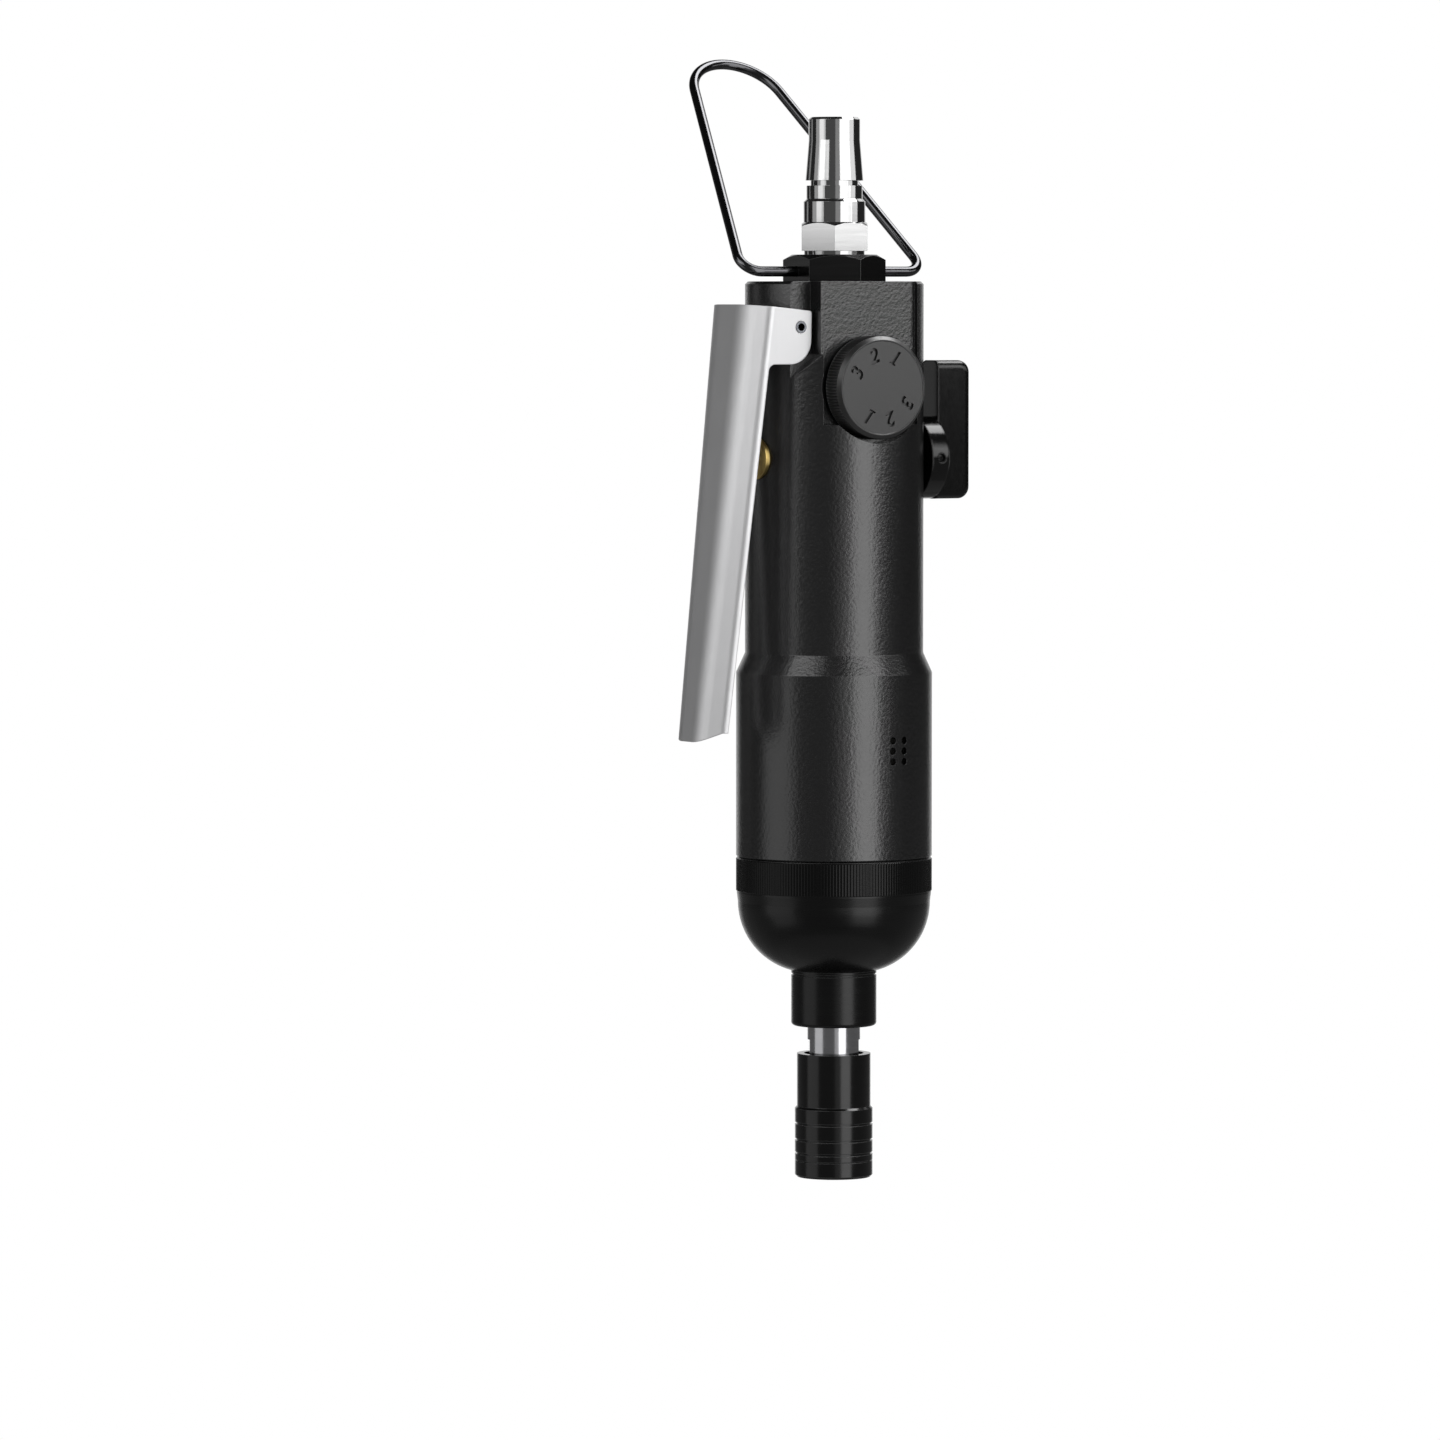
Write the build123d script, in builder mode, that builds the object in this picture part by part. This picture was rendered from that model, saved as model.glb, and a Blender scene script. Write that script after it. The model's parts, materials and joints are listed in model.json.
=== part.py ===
from build123d import *
from math import cos, radians, sin, sqrt, tan
import os

# Straight pneumatic screwdriver with an impact mechanism. Millimetres, +Z up the tool axis.
# The origin is the mouth of the bit socket, the air inlet is at the top.
# The speed dial faces -Y, the throttle lever -X and the reverse lever +X.

# Clearances, on the radius or between two faces
run_gap = 0.05
fit_gap = 0.02
end_gap = 0.1
seat_gap = 0.2

# How far a cutting outline runs past the face that it cuts
cut_margin = 1.0

# Quick-change sleeve
sleeve_r = 8.35
sleeve_upper_r = 7.9
sleeve_wall = 1.5
sleeve_step_z = 14.8
sleeve_length = 26.6
sleeve_land_z = 8.5
sleeve_land_height = 4.5
sleeve_seam_z = 3.6
sleeve_grip_z = [5.2, 8.1, 11.6]
sleeve_groove_width = 0.5
sleeve_groove_depth = 0.35

# Spindle, its hexagon socket and its lugs
socket_af = 6.45
socket_depth = 18.0
spindle_mouth_z = 0.8
spindle_r = 5.0
spindle_shoulder_inset = 2.6
spindle_neck_r = 5.7
spindle_flats_af = 10.5
spindle_flats_height = 5.6
spindle_flats_turn = -28.0
bit_ball_r = 1.2
bit_ball_reach = 0.6
bit_ball_z = 10.6
stop_ring_height = 0.9
spring_washer_height = 0.7
sleeve_spring_wire_r = 0.45
sleeve_spring_turns = 4.5

# Hammer case
collar_r = 9.15
collar_z = 32.6
collar_round = 0.8
collar_groove_inset = 0.8
dome_r = 15.3
dome_shoulder_step = 0.25
dome_land = 2.0
case_wall = 2.6
case_side_wall = 3.7
knurl_depth = 0.15
band_height = 7.7
seam_chamfer = 0.25
case_floor_height = 16.4
spigot_wall = 1.5
spigot_gap = 0.1
spigot_length = 6.7
bushing_bore_r = 7.5
case_o_ring_wire_r = 0.4
case_o_ring_inset = 1.9

# Impact mechanism
thrust_washer_height = 1.0
thrust_washer_r = 10.0
anvil_flange_r = 8.5
anvil_flange_height = 1.6
anvil_core_r = 5.6
anvil_lug_r = 7.9
anvil_lug_width = 5.2
anvil_pilot_r = 2.5
anvil_pilot_length = 2.9
cage_side_gap = 0.7
cage_floor_gap = 3.0
cage_plate_gap = 6.0
cage_front_height = 2.0
cage_rear_height = 3.5
cage_chamfer = 1.5
cage_post_depth = 3.0
cage_post_width = 10.0
hammer_inset = 1.2
hammer_bore_r = 8.4
hammer_height = 5.8
hammer_flat_gap = 0.6
hammer_dog_reach = 2.4
hammer_dog_width = 3.4
hammer_dog_turn = 46.0
hammer_pin_r = 1.6
hammer_pin_circle_r = 11.6
hammer_slot_play = 4.0
drive_af = 8.6
drive_length = 3.5

# Motor
plate_flange_height = 1.5
front_plate_height = 8.5
motor_r = 15.9
motor_bore_r = 16.0
liner_bore_r = 12.3
liner_offset = 1.2
liner_length = 34.0
rotor_seal_gap = 0.05
rotor_slot_width = 1.6
rotor_slot_depth = 5.5
vane_count = 6
vane_play = 0.1
front_shaft_r = 5.0
rear_shaft_r = 4.0
front_bearing_r = 11.0
front_bearing_height = 6.0
rear_bearing_r = 11.0
rear_bearing_height = 7.0
bearing_race_width = 1.6
bearing_shield_depth = 0.4
rear_plate_lip = 1.2
gasket_height = 0.8
gallery_r = 1.2
gallery_circle_r = 13.5
gallery_turn = 14.0
gallery_inset = 7.8
exhaust_slot_height = 1.6
exhaust_slot_width = 9.0
locating_pin_r = 1.0
locating_pin_circle_r = 13.6
locating_pin_reach = 5.0

# Motor housing
lower_r = 21.0
lower_top_z = 108.5
upper_r = 19.1
upper_foot_z = 112.7
housing_top_z = 192.0
housing_edge = 0.6
panel_y = 13.9
panel_half_width = 11.6
panel_foot_z = 161.6
ear_pocket_z = 176.6
ear_pocket_angle = 45.6
exhaust_hole_r = 0.8
exhaust_hole_inset = 5.9
exhaust_hole_pitch = 2.25
exhaust_hole_rows = 3
exhaust_hole_turns = [5.9, 14.5]
silencer_inset = 4.2
silencer_height = 8.2
silencer_wall = 2.3

# Speed dial and its valve
dial_z = 169.5
dial_r = 11.0
dial_base_y = 14.5
dial_face_y = 20.1
dial_edge = 0.5
dial_recess_r = 11.9
dial_bore_depth = 4.0
regulator_r = 4.5
regulator_neck_r = 3.0
regulator_shoulder_y = 12.6
regulator_end_y = -8.0
regulator_ring_y = 8.4
clip_height = 0.8
clip_reach = 0.75
o_ring_wire_r = 0.6

# Throttle valve
throttle_z = 154.4
throttle_bushing_r = 4.5
throttle_bushing_face_x = 20.0
throttle_bushing_length = 10.2
throttle_guide_length = 4.0
throttle_stem_r = 1.4
throttle_head_r = 3.0
throttle_head_height = 1.6
throttle_seat_height = 1.6
throttle_seat_bore_r = 2.1
throttle_spring_wire_r = 0.3
throttle_spring_turns = 4.0
throttle_chamber_x = -2.5
lever_contact_gap = 0.15

# Reverse lever and its valve
reverse_z = 154.2
reverse_r = 4.0
reverse_bore_x = 5.0
reverse_neck_r = 3.0
reverse_neck_length = 3.8
reverse_hub_r = 8.9
reverse_hub_x = 19.25
reverse_hub_height = 4.75
reverse_blade_width = 6.4
reverse_blade_x = 32.5
reverse_blade_top_z = 175.1
reverse_blade_round = 2.6
reverse_blade_soft = 1.5
reverse_edge = 0.6
reverse_pin_r = 0.9
reverse_ring_x = 16.6

# Air passages in the housing
passage_r = 2.5
link_r = 1.6
link_x = -13.0
link_z = 145.6
link_end_x = 8.0

# Throttle lever
lever_sheet = 1.5
lever_top_z = 187.1
lever_foot_z = 94.5
lever_top_x = 26.2
lever_foot_x = 36.3
lever_top_half_width = 11.6
lever_foot_half_width = 8.8
lever_top_flat = 6.6
lever_foot_flat = 4.3
lever_flank_drop = 3.8
lever_top_crown_r = 10.0
lever_foot_crown_r = 6.0
lever_bend_r = 2.0
lever_lip = 1.2
lever_ear_x = 12.4
lever_ear_top_z = 185.7
lever_ear_foot_z = 174.4
lever_ear_round = 5.1
lever_ear_edge = 0.6
lever_ear_root_r = 1.5
lever_foot_slant = 2.0
lever_pivot_x = 15.0
lever_pivot_z = 182.3
lever_pin_r = 1.25
lever_pin_bore_r = 0.8

# Inlet bushing, air plug and hanger
inlet_hex_af = 19.0
inlet_hex_height = 5.7
inlet_shank_r = 8.2
inlet_shank_length = 12.0
inlet_thread_depth = 10.7
inlet_foot_bore_r = 4.6
inlet_seal_height = 1.3
inlet_seal_width = 1.0
inlet_screen_height = 0.6
inlet_screen_hole_r = 0.9
inlet_screen_circle_r = 2.9
inlet_hex_edge = 0.8
plug_thread_r = 6.5
plug_hex_af = 14.0
plug_hex_z = 198.5
plug_hex_height = 6.1
plug_hex_edge = 0.6
plug_collar_r = 6.6
plug_collar_top_z = 209.0
plug_neck_r = 6.0
plug_neck_top_z = 212.4
plug_groove_r = 5.1
plug_groove_height = 1.1
plug_cone_r = 6.2
plug_tip_r = 5.5
plug_tip_z = 222.1
plug_top_z = 227.0
plug_tip_edge = 0.5
plug_bore_r = 3.5
bail_wire_r = 1.1
bail_hinge_z = 194.1
bail_end_x = 7.8
bail_half_width = 22.9
bail_lean = 12.1
bail_corner_r = 4.0
bail_top_r = 10.9
bail_tilt = 46.4

# Sizes that follow from the ones above
sleeve_inner_r = sleeve_upper_r - sleeve_wall
sleeve_land_top_z = sleeve_land_z + sleeve_land_height
spindle_shoulder_z = sleeve_length - spindle_shoulder_inset
band_r = lower_r - knurl_depth
dome_shoulder_r = band_r - dome_shoulder_step
case_bore_r = dome_shoulder_r - case_side_wall
cage_r = case_bore_r - cage_side_gap
spigot_r = case_bore_r + spigot_wall
hammer_r = cage_r - hammer_inset
washer_z = spindle_shoulder_z - spring_washer_height
case_floor_z = collar_z + case_floor_height
cage_z = case_floor_z + cage_floor_gap
anvil_flange_z = case_floor_z + thrust_washer_height + end_gap
anvil_core_z = anvil_flange_z + anvil_flange_height
cage_inner_z = cage_z + cage_front_height
front_hammer_z = cage_inner_z + 2 * end_gap
rear_hammer_z = front_hammer_z + hammer_height + 2 * end_gap
cage_rear_z = rear_hammer_z + hammer_height + 2 * end_gap
cage_top_z = cage_rear_z + cage_rear_height
cage_post_x = cage_r - cage_post_depth
spigot_top_z = cage_top_z + cage_plate_gap
seam_z = spigot_top_z - spigot_length
band_z = seam_z - band_height
dome_shoulder_z = band_z - dome_land
case_o_ring_z = spigot_top_z - case_o_ring_inset
plate_seat_z = spigot_top_z + plate_flange_height
liner_z = spigot_top_z + front_plate_height
liner_top_z = liner_z + liner_length
gallery_foot_z = liner_z + gallery_inset
silencer_z = liner_z + silencer_inset
exhaust_hole_z = [
    liner_z + exhaust_hole_inset + row * exhaust_hole_pitch for row in range(exhaust_hole_rows)
]
front_bearing_z = spigot_top_z + seat_gap
front_bearing_top_z = front_bearing_z + front_bearing_height
rear_bearing_z = liner_top_z + rear_plate_lip
rear_plate_top_z = rear_bearing_z + rear_bearing_height
motor_top_z = rear_plate_top_z + gasket_height
rotor_r = liner_bore_r - liner_offset - rotor_seal_gap
rotor_z = liner_z + end_gap
rotor_top_z = liner_top_z - end_gap
rotor_foot_z = cage_rear_z + end_gap
drive_top_z = rotor_foot_z + drive_length
throttle_seat_x = throttle_bushing_face_x - throttle_bushing_length
throttle_head_x = throttle_seat_x - throttle_seat_height
lever_slope = (lever_foot_x - lever_top_x) / (lever_top_z - lever_foot_z)
lever_taper = (lever_top_half_width - lever_foot_half_width) / (lever_top_z - lever_foot_z)
lever_ear_foot_y = lever_top_half_width - (lever_top_z - lever_ear_foot_z) * lever_taper
ear_flat_y = lever_ear_foot_y - lever_sheet - seat_gap
lever_inner_x = lever_top_x + (lever_top_z - throttle_z) * lever_slope - lever_sheet
throttle_stem_x = lever_inner_x - lever_contact_gap
reverse_spool_x = reverse_bore_x + seat_gap
inlet_bushing_z = housing_top_z - inlet_shank_length
inlet_hex_top_z = housing_top_z + inlet_hex_height
plug_foot_z = inlet_hex_top_z - inlet_thread_depth

# Planes of the three side valves, each looking outward
dial_plane = Plane(origin=(0, 0, dial_z), x_dir=(1, 0, 0), z_dir=(0, -1, 0))
throttle_plane = Plane(origin=(0, 0, throttle_z), x_dir=(0, -1, 0), z_dir=(-1, 0, 0))
reverse_plane = Plane(origin=(0, 0, reverse_z), x_dir=(0, 1, 0), z_dir=(1, 0, 0))


def half_section(points):
    # A closed outline of radius and height pairs, to be turned about the tool axis
    with BuildSketch(Plane.XZ) as section:
        with BuildLine():
            Polyline(*points, close=True)
        make_face()
    return section.sketch


def ring(inner_r, outer_r, low_z, high_z):
    return half_section([(inner_r, low_z), (outer_r, low_z), (outer_r, high_z), (inner_r, high_z)])


def groove(radius, depth, middle_z, width):
    # A band to cut into a turned surface of the given radius
    low_z = middle_z - width / 2
    return ring(radius - depth, radius + cut_margin, low_z, low_z + width)


def lever_section(height, back_x, half_width, flat, crown_r, ear_depth):
    # The bent sheet of the lever, cut level at one height
    shoulder_x = back_x - lever_flank_drop
    with BuildSketch(Plane.XY.offset(height)) as section:
        with BuildLine() as bend:
            Polyline(
                (-shoulder_x + ear_depth, -half_width),
                (-shoulder_x, -half_width),
                (-back_x, -flat),
                (-back_x, flat),
                (-shoulder_x, half_width),
                (-shoulder_x + ear_depth, half_width),
            )
            fillet(bend.vertices().filter_by_position(Axis.Y, -flat, flat), radius=crown_r)
            folds = bend.vertices().sort_by_distance((-shoulder_x, -half_width, 0))[:1]
            folds += bend.vertices().sort_by_distance((-shoulder_x, half_width, 0))[:1]
            fillet(folds, radius=lever_bend_r)
            offset(amount=lever_sheet, side=Side.RIGHT)
        make_face()
    return section.sketch


os.makedirs("parts", exist_ok=True)
pieces = []


def keep(piece, name):
    # Name a finished piece and put it on the list that is written at the end
    piece.part.label = name
    pieces.append(piece.part)


# Quick-change sleeve: grip outside, a guide land with room for the spring above it
with BuildPart() as chuck_sleeve:
    revolve(
        half_section(
            [
                (sleeve_inner_r, 0),
                (sleeve_r, 0),
                (sleeve_r, sleeve_step_z),
                (sleeve_upper_r, sleeve_step_z + sleeve_r - sleeve_upper_r),
                (sleeve_upper_r, sleeve_length),
                (sleeve_inner_r, sleeve_length),
                (sleeve_inner_r, sleeve_land_top_z),
                (spindle_r + run_gap, sleeve_land_top_z),
                (spindle_r + run_gap, sleeve_land_z),
                (sleeve_inner_r, sleeve_land_z),
            ]
        ),
        axis=Axis.Z,
    )
    outer_edges = chuck_sleeve.edges().filter_by(GeomType.CIRCLE).sort_by(SortBy.RADIUS)
    chamfer(outer_edges.group_by(Axis.Z)[0].sort_by(SortBy.RADIUS)[-1], length=0.5)
    revolve(
        groove(sleeve_r, sleeve_groove_depth, sleeve_seam_z, sleeve_groove_width / 2),
        axis=Axis.Z,
        mode=Mode.SUBTRACT,
    )
    for grip_z in sleeve_grip_z:
        revolve(
            groove(sleeve_r, sleeve_groove_depth, grip_z, sleeve_groove_width),
            axis=Axis.Z,
            mode=Mode.SUBTRACT,
        )
keep(chuck_sleeve, "chuck_sleeve")

# Anvil: hexagon socket below, two lugs at different heights above
anvil_top_z = cage_rear_z - end_gap
with BuildPart() as anvil:
    revolve(
        half_section(
            [
                (0, spindle_mouth_z),
                (spindle_r, spindle_mouth_z),
                (spindle_r, spindle_shoulder_z),
                (spindle_neck_r, spindle_shoulder_z),
                (spindle_neck_r, anvil_flange_z),
                (anvil_flange_r, anvil_flange_z),
                (anvil_flange_r, anvil_core_z),
                (anvil_core_r, anvil_core_z),
                (anvil_core_r, anvil_top_z),
                (anvil_pilot_r, anvil_top_z),
                (anvil_pilot_r, anvil_top_z + anvil_pilot_length),
                (0, anvil_top_z + anvil_pilot_length),
            ]
        ),
        axis=Axis.Z,
    )
    for side, lug_z in ((1, front_hammer_z), (-1, rear_hammer_z)):
        with BuildSketch(Plane.XY.offset(lug_z + end_gap)):
            Circle(anvil_lug_r)
            with Locations((side * anvil_lug_r, 0)):
                Rectangle(2 * (anvil_lug_r - anvil_core_r / 2), anvil_lug_width, mode=Mode.INTERSECT)
        extrude(amount=hammer_height - 2 * end_gap)
    with BuildSketch(Plane.XY.offset(spindle_mouth_z)):
        RegularPolygon(radius=socket_af / 2, side_count=6, major_radius=False)
    extrude(amount=socket_depth, mode=Mode.SUBTRACT)
    chamfer(anvil.edges().group_by(Axis.Z)[0].filter_by(GeomType.CIRCLE), length=0.4)
    with BuildSketch(Plane.XY.offset(spindle_shoulder_z).rotated((0, 0, spindle_flats_turn))):
        Circle(spindle_neck_r + cut_margin)
        Rectangle(spindle_flats_af, 4 * spindle_neck_r, mode=Mode.SUBTRACT)
    extrude(amount=spindle_flats_height, mode=Mode.SUBTRACT)
    with BuildSketch(Plane(origin=(0, 0, bit_ball_z), x_dir=(0, 1, 0), z_dir=(-1, 0, 0))):
        Circle(bit_ball_r + run_gap)
    extrude(amount=spindle_r + cut_margin, mode=Mode.SUBTRACT)
keep(anvil, "anvil")

# Ball that drops into the groove of the bit, held by the land of the sleeve
bit_ball_x = socket_af / 2 - bit_ball_reach + bit_ball_r
with BuildPart() as bit_ball:
    with Locations((-bit_ball_x, 0, bit_ball_z)):
        Sphere(bit_ball_r)
keep(bit_ball, "bit_ball")

# Ring under the land that keeps the sleeve on, and the washer over its spring
with BuildPart() as sleeve_stop_ring:
    revolve(
        ring(
            spindle_r,
            sleeve_inner_r - seat_gap,
            sleeve_land_z - run_gap - stop_ring_height,
            sleeve_land_z - run_gap,
        ),
        axis=Axis.Z,
    )
keep(sleeve_stop_ring, "sleeve_stop_ring")

with BuildPart() as spring_washer:
    revolve(
        ring(spindle_r, sleeve_inner_r - seat_gap, washer_z, spindle_shoulder_z),
        axis=Axis.Z,
    )
keep(spring_washer, "spring_washer")

# Return spring of the sleeve
sleeve_spring_r = spindle_r + seat_gap + sleeve_spring_wire_r
sleeve_spring_foot_z = sleeve_land_top_z + sleeve_spring_wire_r + run_gap
sleeve_spring_height = washer_z - run_gap - sleeve_spring_wire_r - sleeve_spring_foot_z
with BuildPart() as sleeve_spring:
    with BuildLine() as sleeve_coil:
        Helix(
            pitch=sleeve_spring_height / sleeve_spring_turns,
            height=sleeve_spring_height,
            radius=sleeve_spring_r,
            center=(0, 0, sleeve_spring_foot_z),
        )
    with BuildSketch(Plane(origin=sleeve_coil.line @ 0, z_dir=sleeve_coil.line % 0)):
        RegularPolygon(radius=sleeve_spring_wire_r, side_count=8)
    sweep(is_frenet=True)
keep(sleeve_spring, "sleeve_spring")

# Hammer case: collar, dome and band outside, a domed hollow and a bush seat inside
dome_centre_r = dome_shoulder_r - dome_r
collar_top_z = dome_shoulder_z - sqrt(dome_r**2 - (collar_r - dome_centre_r) ** 2)
case_o_ring_r = spigot_r + spigot_gap - case_o_ring_wire_r
case_groove_depth = spigot_r - case_o_ring_r + case_o_ring_wire_r
hollow_r = dome_r - case_wall
hollow_floor_r = dome_centre_r + sqrt(hollow_r**2 - (dome_shoulder_z - case_floor_z) ** 2)
hollow_top_z = dome_shoulder_z - sqrt(hollow_r**2 - (case_bore_r - dome_centre_r) ** 2)
with BuildPart() as hammer_case:
    with BuildSketch(Plane.XZ):
        with BuildLine():
            Polyline((0, collar_z), (collar_r, collar_z), (collar_r, collar_top_z))
            RadiusArc((collar_r, collar_top_z), (dome_shoulder_r, dome_shoulder_z), -dome_r)
            Polyline(
                (dome_shoulder_r, dome_shoulder_z),
                (band_r, band_z),
                (band_r, seam_z),
                (spigot_r, seam_z),
                (spigot_r, spigot_top_z),
                (0, spigot_top_z),
                (0, collar_z),
            )
        make_face()
    revolve(axis=Axis.Z)
    with BuildSketch(Plane.XZ):
        with BuildLine():
            Line((0, case_floor_z), (hollow_floor_r, case_floor_z))
            RadiusArc((hollow_floor_r, case_floor_z), (case_bore_r, hollow_top_z), -hollow_r)
            Polyline(
                (case_bore_r, hollow_top_z),
                (case_bore_r, spigot_top_z),
                (0, spigot_top_z),
                (0, case_floor_z),
            )
        make_face()
    revolve(axis=Axis.Z, mode=Mode.SUBTRACT)
    with BuildSketch(Plane.XY.offset(collar_z)):
        Circle(bushing_bore_r)
    extrude(amount=case_floor_z - collar_z, mode=Mode.SUBTRACT)
    rims = hammer_case.edges().filter_by(GeomType.CIRCLE)
    fillet(rims.group_by(Axis.Z)[0].sort_by(SortBy.RADIUS)[-1], radius=collar_round)
    seam_rims = hammer_case.edges().filter_by(GeomType.CIRCLE).filter_by_position(
        Axis.Z, seam_z - seat_gap, seam_z + seat_gap
    )
    chamfer(seam_rims.sort_by(SortBy.RADIUS)[-1], length=seam_chamfer)
    revolve(
        groove(collar_r, seam_chamfer, collar_top_z - collar_groove_inset, 2 * seam_chamfer),
        axis=Axis.Z,
        mode=Mode.SUBTRACT,
    )
    revolve(
        groove(spigot_r, case_groove_depth, case_o_ring_z, 2 * case_o_ring_wire_r + seat_gap),
        axis=Axis.Z,
        mode=Mode.SUBTRACT,
    )
keep(hammer_case, "hammer_case")

# Bronze bush of the anvil, and the washer that takes its thrust
with BuildPart() as anvil_bushing:
    revolve(
        ring(spindle_neck_r + run_gap, bushing_bore_r, collar_z + end_gap, case_floor_z),
        axis=Axis.Z,
    )
keep(anvil_bushing, "anvil_bushing")

with BuildPart() as thrust_washer:
    revolve(
        ring(
            spindle_neck_r + run_gap,
            thrust_washer_r,
            case_floor_z,
            case_floor_z + thrust_washer_height,
        ),
        axis=Axis.Z,
    )
keep(thrust_washer, "thrust_washer")

with BuildPart() as case_o_ring:
    with BuildSketch(Plane.XZ):
        with Locations((case_o_ring_r, case_o_ring_z)):
            RegularPolygon(radius=case_o_ring_wire_r, side_count=8)
    revolve(axis=Axis.Z)
keep(case_o_ring, "case_o_ring")

# Cage: two plates joined by two posts, with a hexagon hole for the rotor
with BuildPart() as hammer_cage:
    for plate_z, plate_height in ((cage_z, cage_front_height), (cage_rear_z, cage_rear_height)):
        with BuildSketch(Plane.XY.offset(plate_z)):
            Circle(cage_r)
        extrude(amount=plate_height)
    with BuildSketch(Plane.XY.offset(cage_inner_z)):
        Circle(cage_r)
        Rectangle(2 * cage_post_x, 2 * cage_r, mode=Mode.SUBTRACT)
        Rectangle(2 * cage_r, cage_post_width, mode=Mode.INTERSECT)
    extrude(amount=cage_rear_z - cage_inner_z)
    with BuildSketch(Plane.XY.offset(cage_z)):
        Circle(anvil_lug_r + end_gap)
        with Locations((0, hammer_pin_circle_r), (0, -hammer_pin_circle_r)):
            Circle(hammer_pin_r + fit_gap)
    extrude(amount=cage_front_height, mode=Mode.SUBTRACT)
    with BuildSketch(Plane.XY.offset(cage_rear_z)):
        RegularPolygon(radius=drive_af / 2 + fit_gap, side_count=6, major_radius=False)
        with Locations((0, hammer_pin_circle_r), (0, -hammer_pin_circle_r)):
            Circle(hammer_pin_r + fit_gap)
    extrude(amount=cage_rear_height, mode=Mode.SUBTRACT)
    front_rim = hammer_cage.edges().filter_by(GeomType.CIRCLE).group_by(Axis.Z)[0]
    chamfer(front_rim.sort_by(SortBy.RADIUS)[-1], length=cage_chamfer)
keep(hammer_cage, "hammer_cage")


def build_hammer(low_z, turn, name):
    # Ring hammer: one round pin hole, one slot across from it and a dog inside the bore
    with BuildPart() as hammer:
        with BuildSketch(Plane.XY.offset(low_z).rotated((0, 0, turn))):
            Circle(hammer_r)
            Rectangle(2 * (cage_post_x - hammer_flat_gap), 2 * hammer_r, mode=Mode.INTERSECT)
            Circle(hammer_bore_r, mode=Mode.SUBTRACT)
            with Locations(Location((0, 0), hammer_dog_turn)):
                with Locations((hammer_bore_r - hammer_dog_reach / 2 + end_gap, 0)):
                    Rectangle(hammer_dog_reach, hammer_dog_width)
            with Locations((0, hammer_pin_circle_r)):
                Circle(hammer_pin_r + run_gap, mode=Mode.SUBTRACT)
            with Locations((0, -hammer_pin_circle_r)):
                SlotCenterToCenter(hammer_slot_play, 2 * hammer_pin_r + run_gap, mode=Mode.SUBTRACT)
        extrude(amount=hammer_height)
    keep(hammer, name)


build_hammer(front_hammer_z, 0, "front_hammer")
build_hammer(rear_hammer_z, 180, "rear_hammer")

with BuildPart() as hammer_pins:
    with BuildSketch(Plane.XY.offset(cage_z)):
        with Locations((0, hammer_pin_circle_r), (0, -hammer_pin_circle_r)):
            Circle(hammer_pin_r)
    extrude(amount=cage_top_z - cage_z)
keep(hammer_pins, "hammer_pins")


# Motor plates and bearings
def build_bearing(shaft_r, outer_r, low_z, high_z, name):
    # Sealed ball bearing: two races and a recessed shield on each face
    with BuildPart() as bearing:
        revolve(ring(shaft_r + run_gap, outer_r, low_z, high_z), axis=Axis.Z)
        for shield_z in (low_z, high_z - bearing_shield_depth):
            revolve(
                ring(
                    shaft_r + bearing_race_width,
                    outer_r - bearing_race_width,
                    shield_z,
                    shield_z + bearing_shield_depth,
                ),
                axis=Axis.Z,
                mode=Mode.SUBTRACT,
            )
    keep(bearing, name)


build_bearing(
    front_shaft_r, front_bearing_r, front_bearing_z, front_bearing_top_z, "front_bearing"
)
build_bearing(rear_shaft_r, rear_bearing_r, rear_bearing_z, rear_plate_top_z, "rear_bearing")

pin_foot_z = liner_z - locating_pin_reach
pin_top_z = motor_top_z + locating_pin_reach
with BuildPart() as locating_pin:
    with BuildSketch(Plane.XY.offset(pin_foot_z)):
        with Locations((locating_pin_circle_r, 0)):
            Circle(locating_pin_r)
    extrude(amount=pin_top_z - pin_foot_z)
keep(locating_pin, "locating_pin")

with BuildPart() as front_end_plate:
    revolve(
        half_section(
            [
                (front_shaft_r + 2 * end_gap, front_bearing_top_z),
                (front_bearing_r, front_bearing_top_z),
                (front_bearing_r, spigot_top_z),
                (spigot_r, spigot_top_z),
                (spigot_r, plate_seat_z),
                (motor_r, plate_seat_z),
                (motor_r, liner_z),
                (front_shaft_r + 2 * end_gap, liner_z),
            ]
        ),
        axis=Axis.Z,
    )
    with BuildSketch(Plane.XY.offset(pin_foot_z)):
        with Locations((locating_pin_circle_r, 0)):
            Circle(locating_pin_r + fit_gap)
    extrude(amount=locating_pin_reach, mode=Mode.SUBTRACT)
keep(front_end_plate, "front_end_plate")

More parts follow.
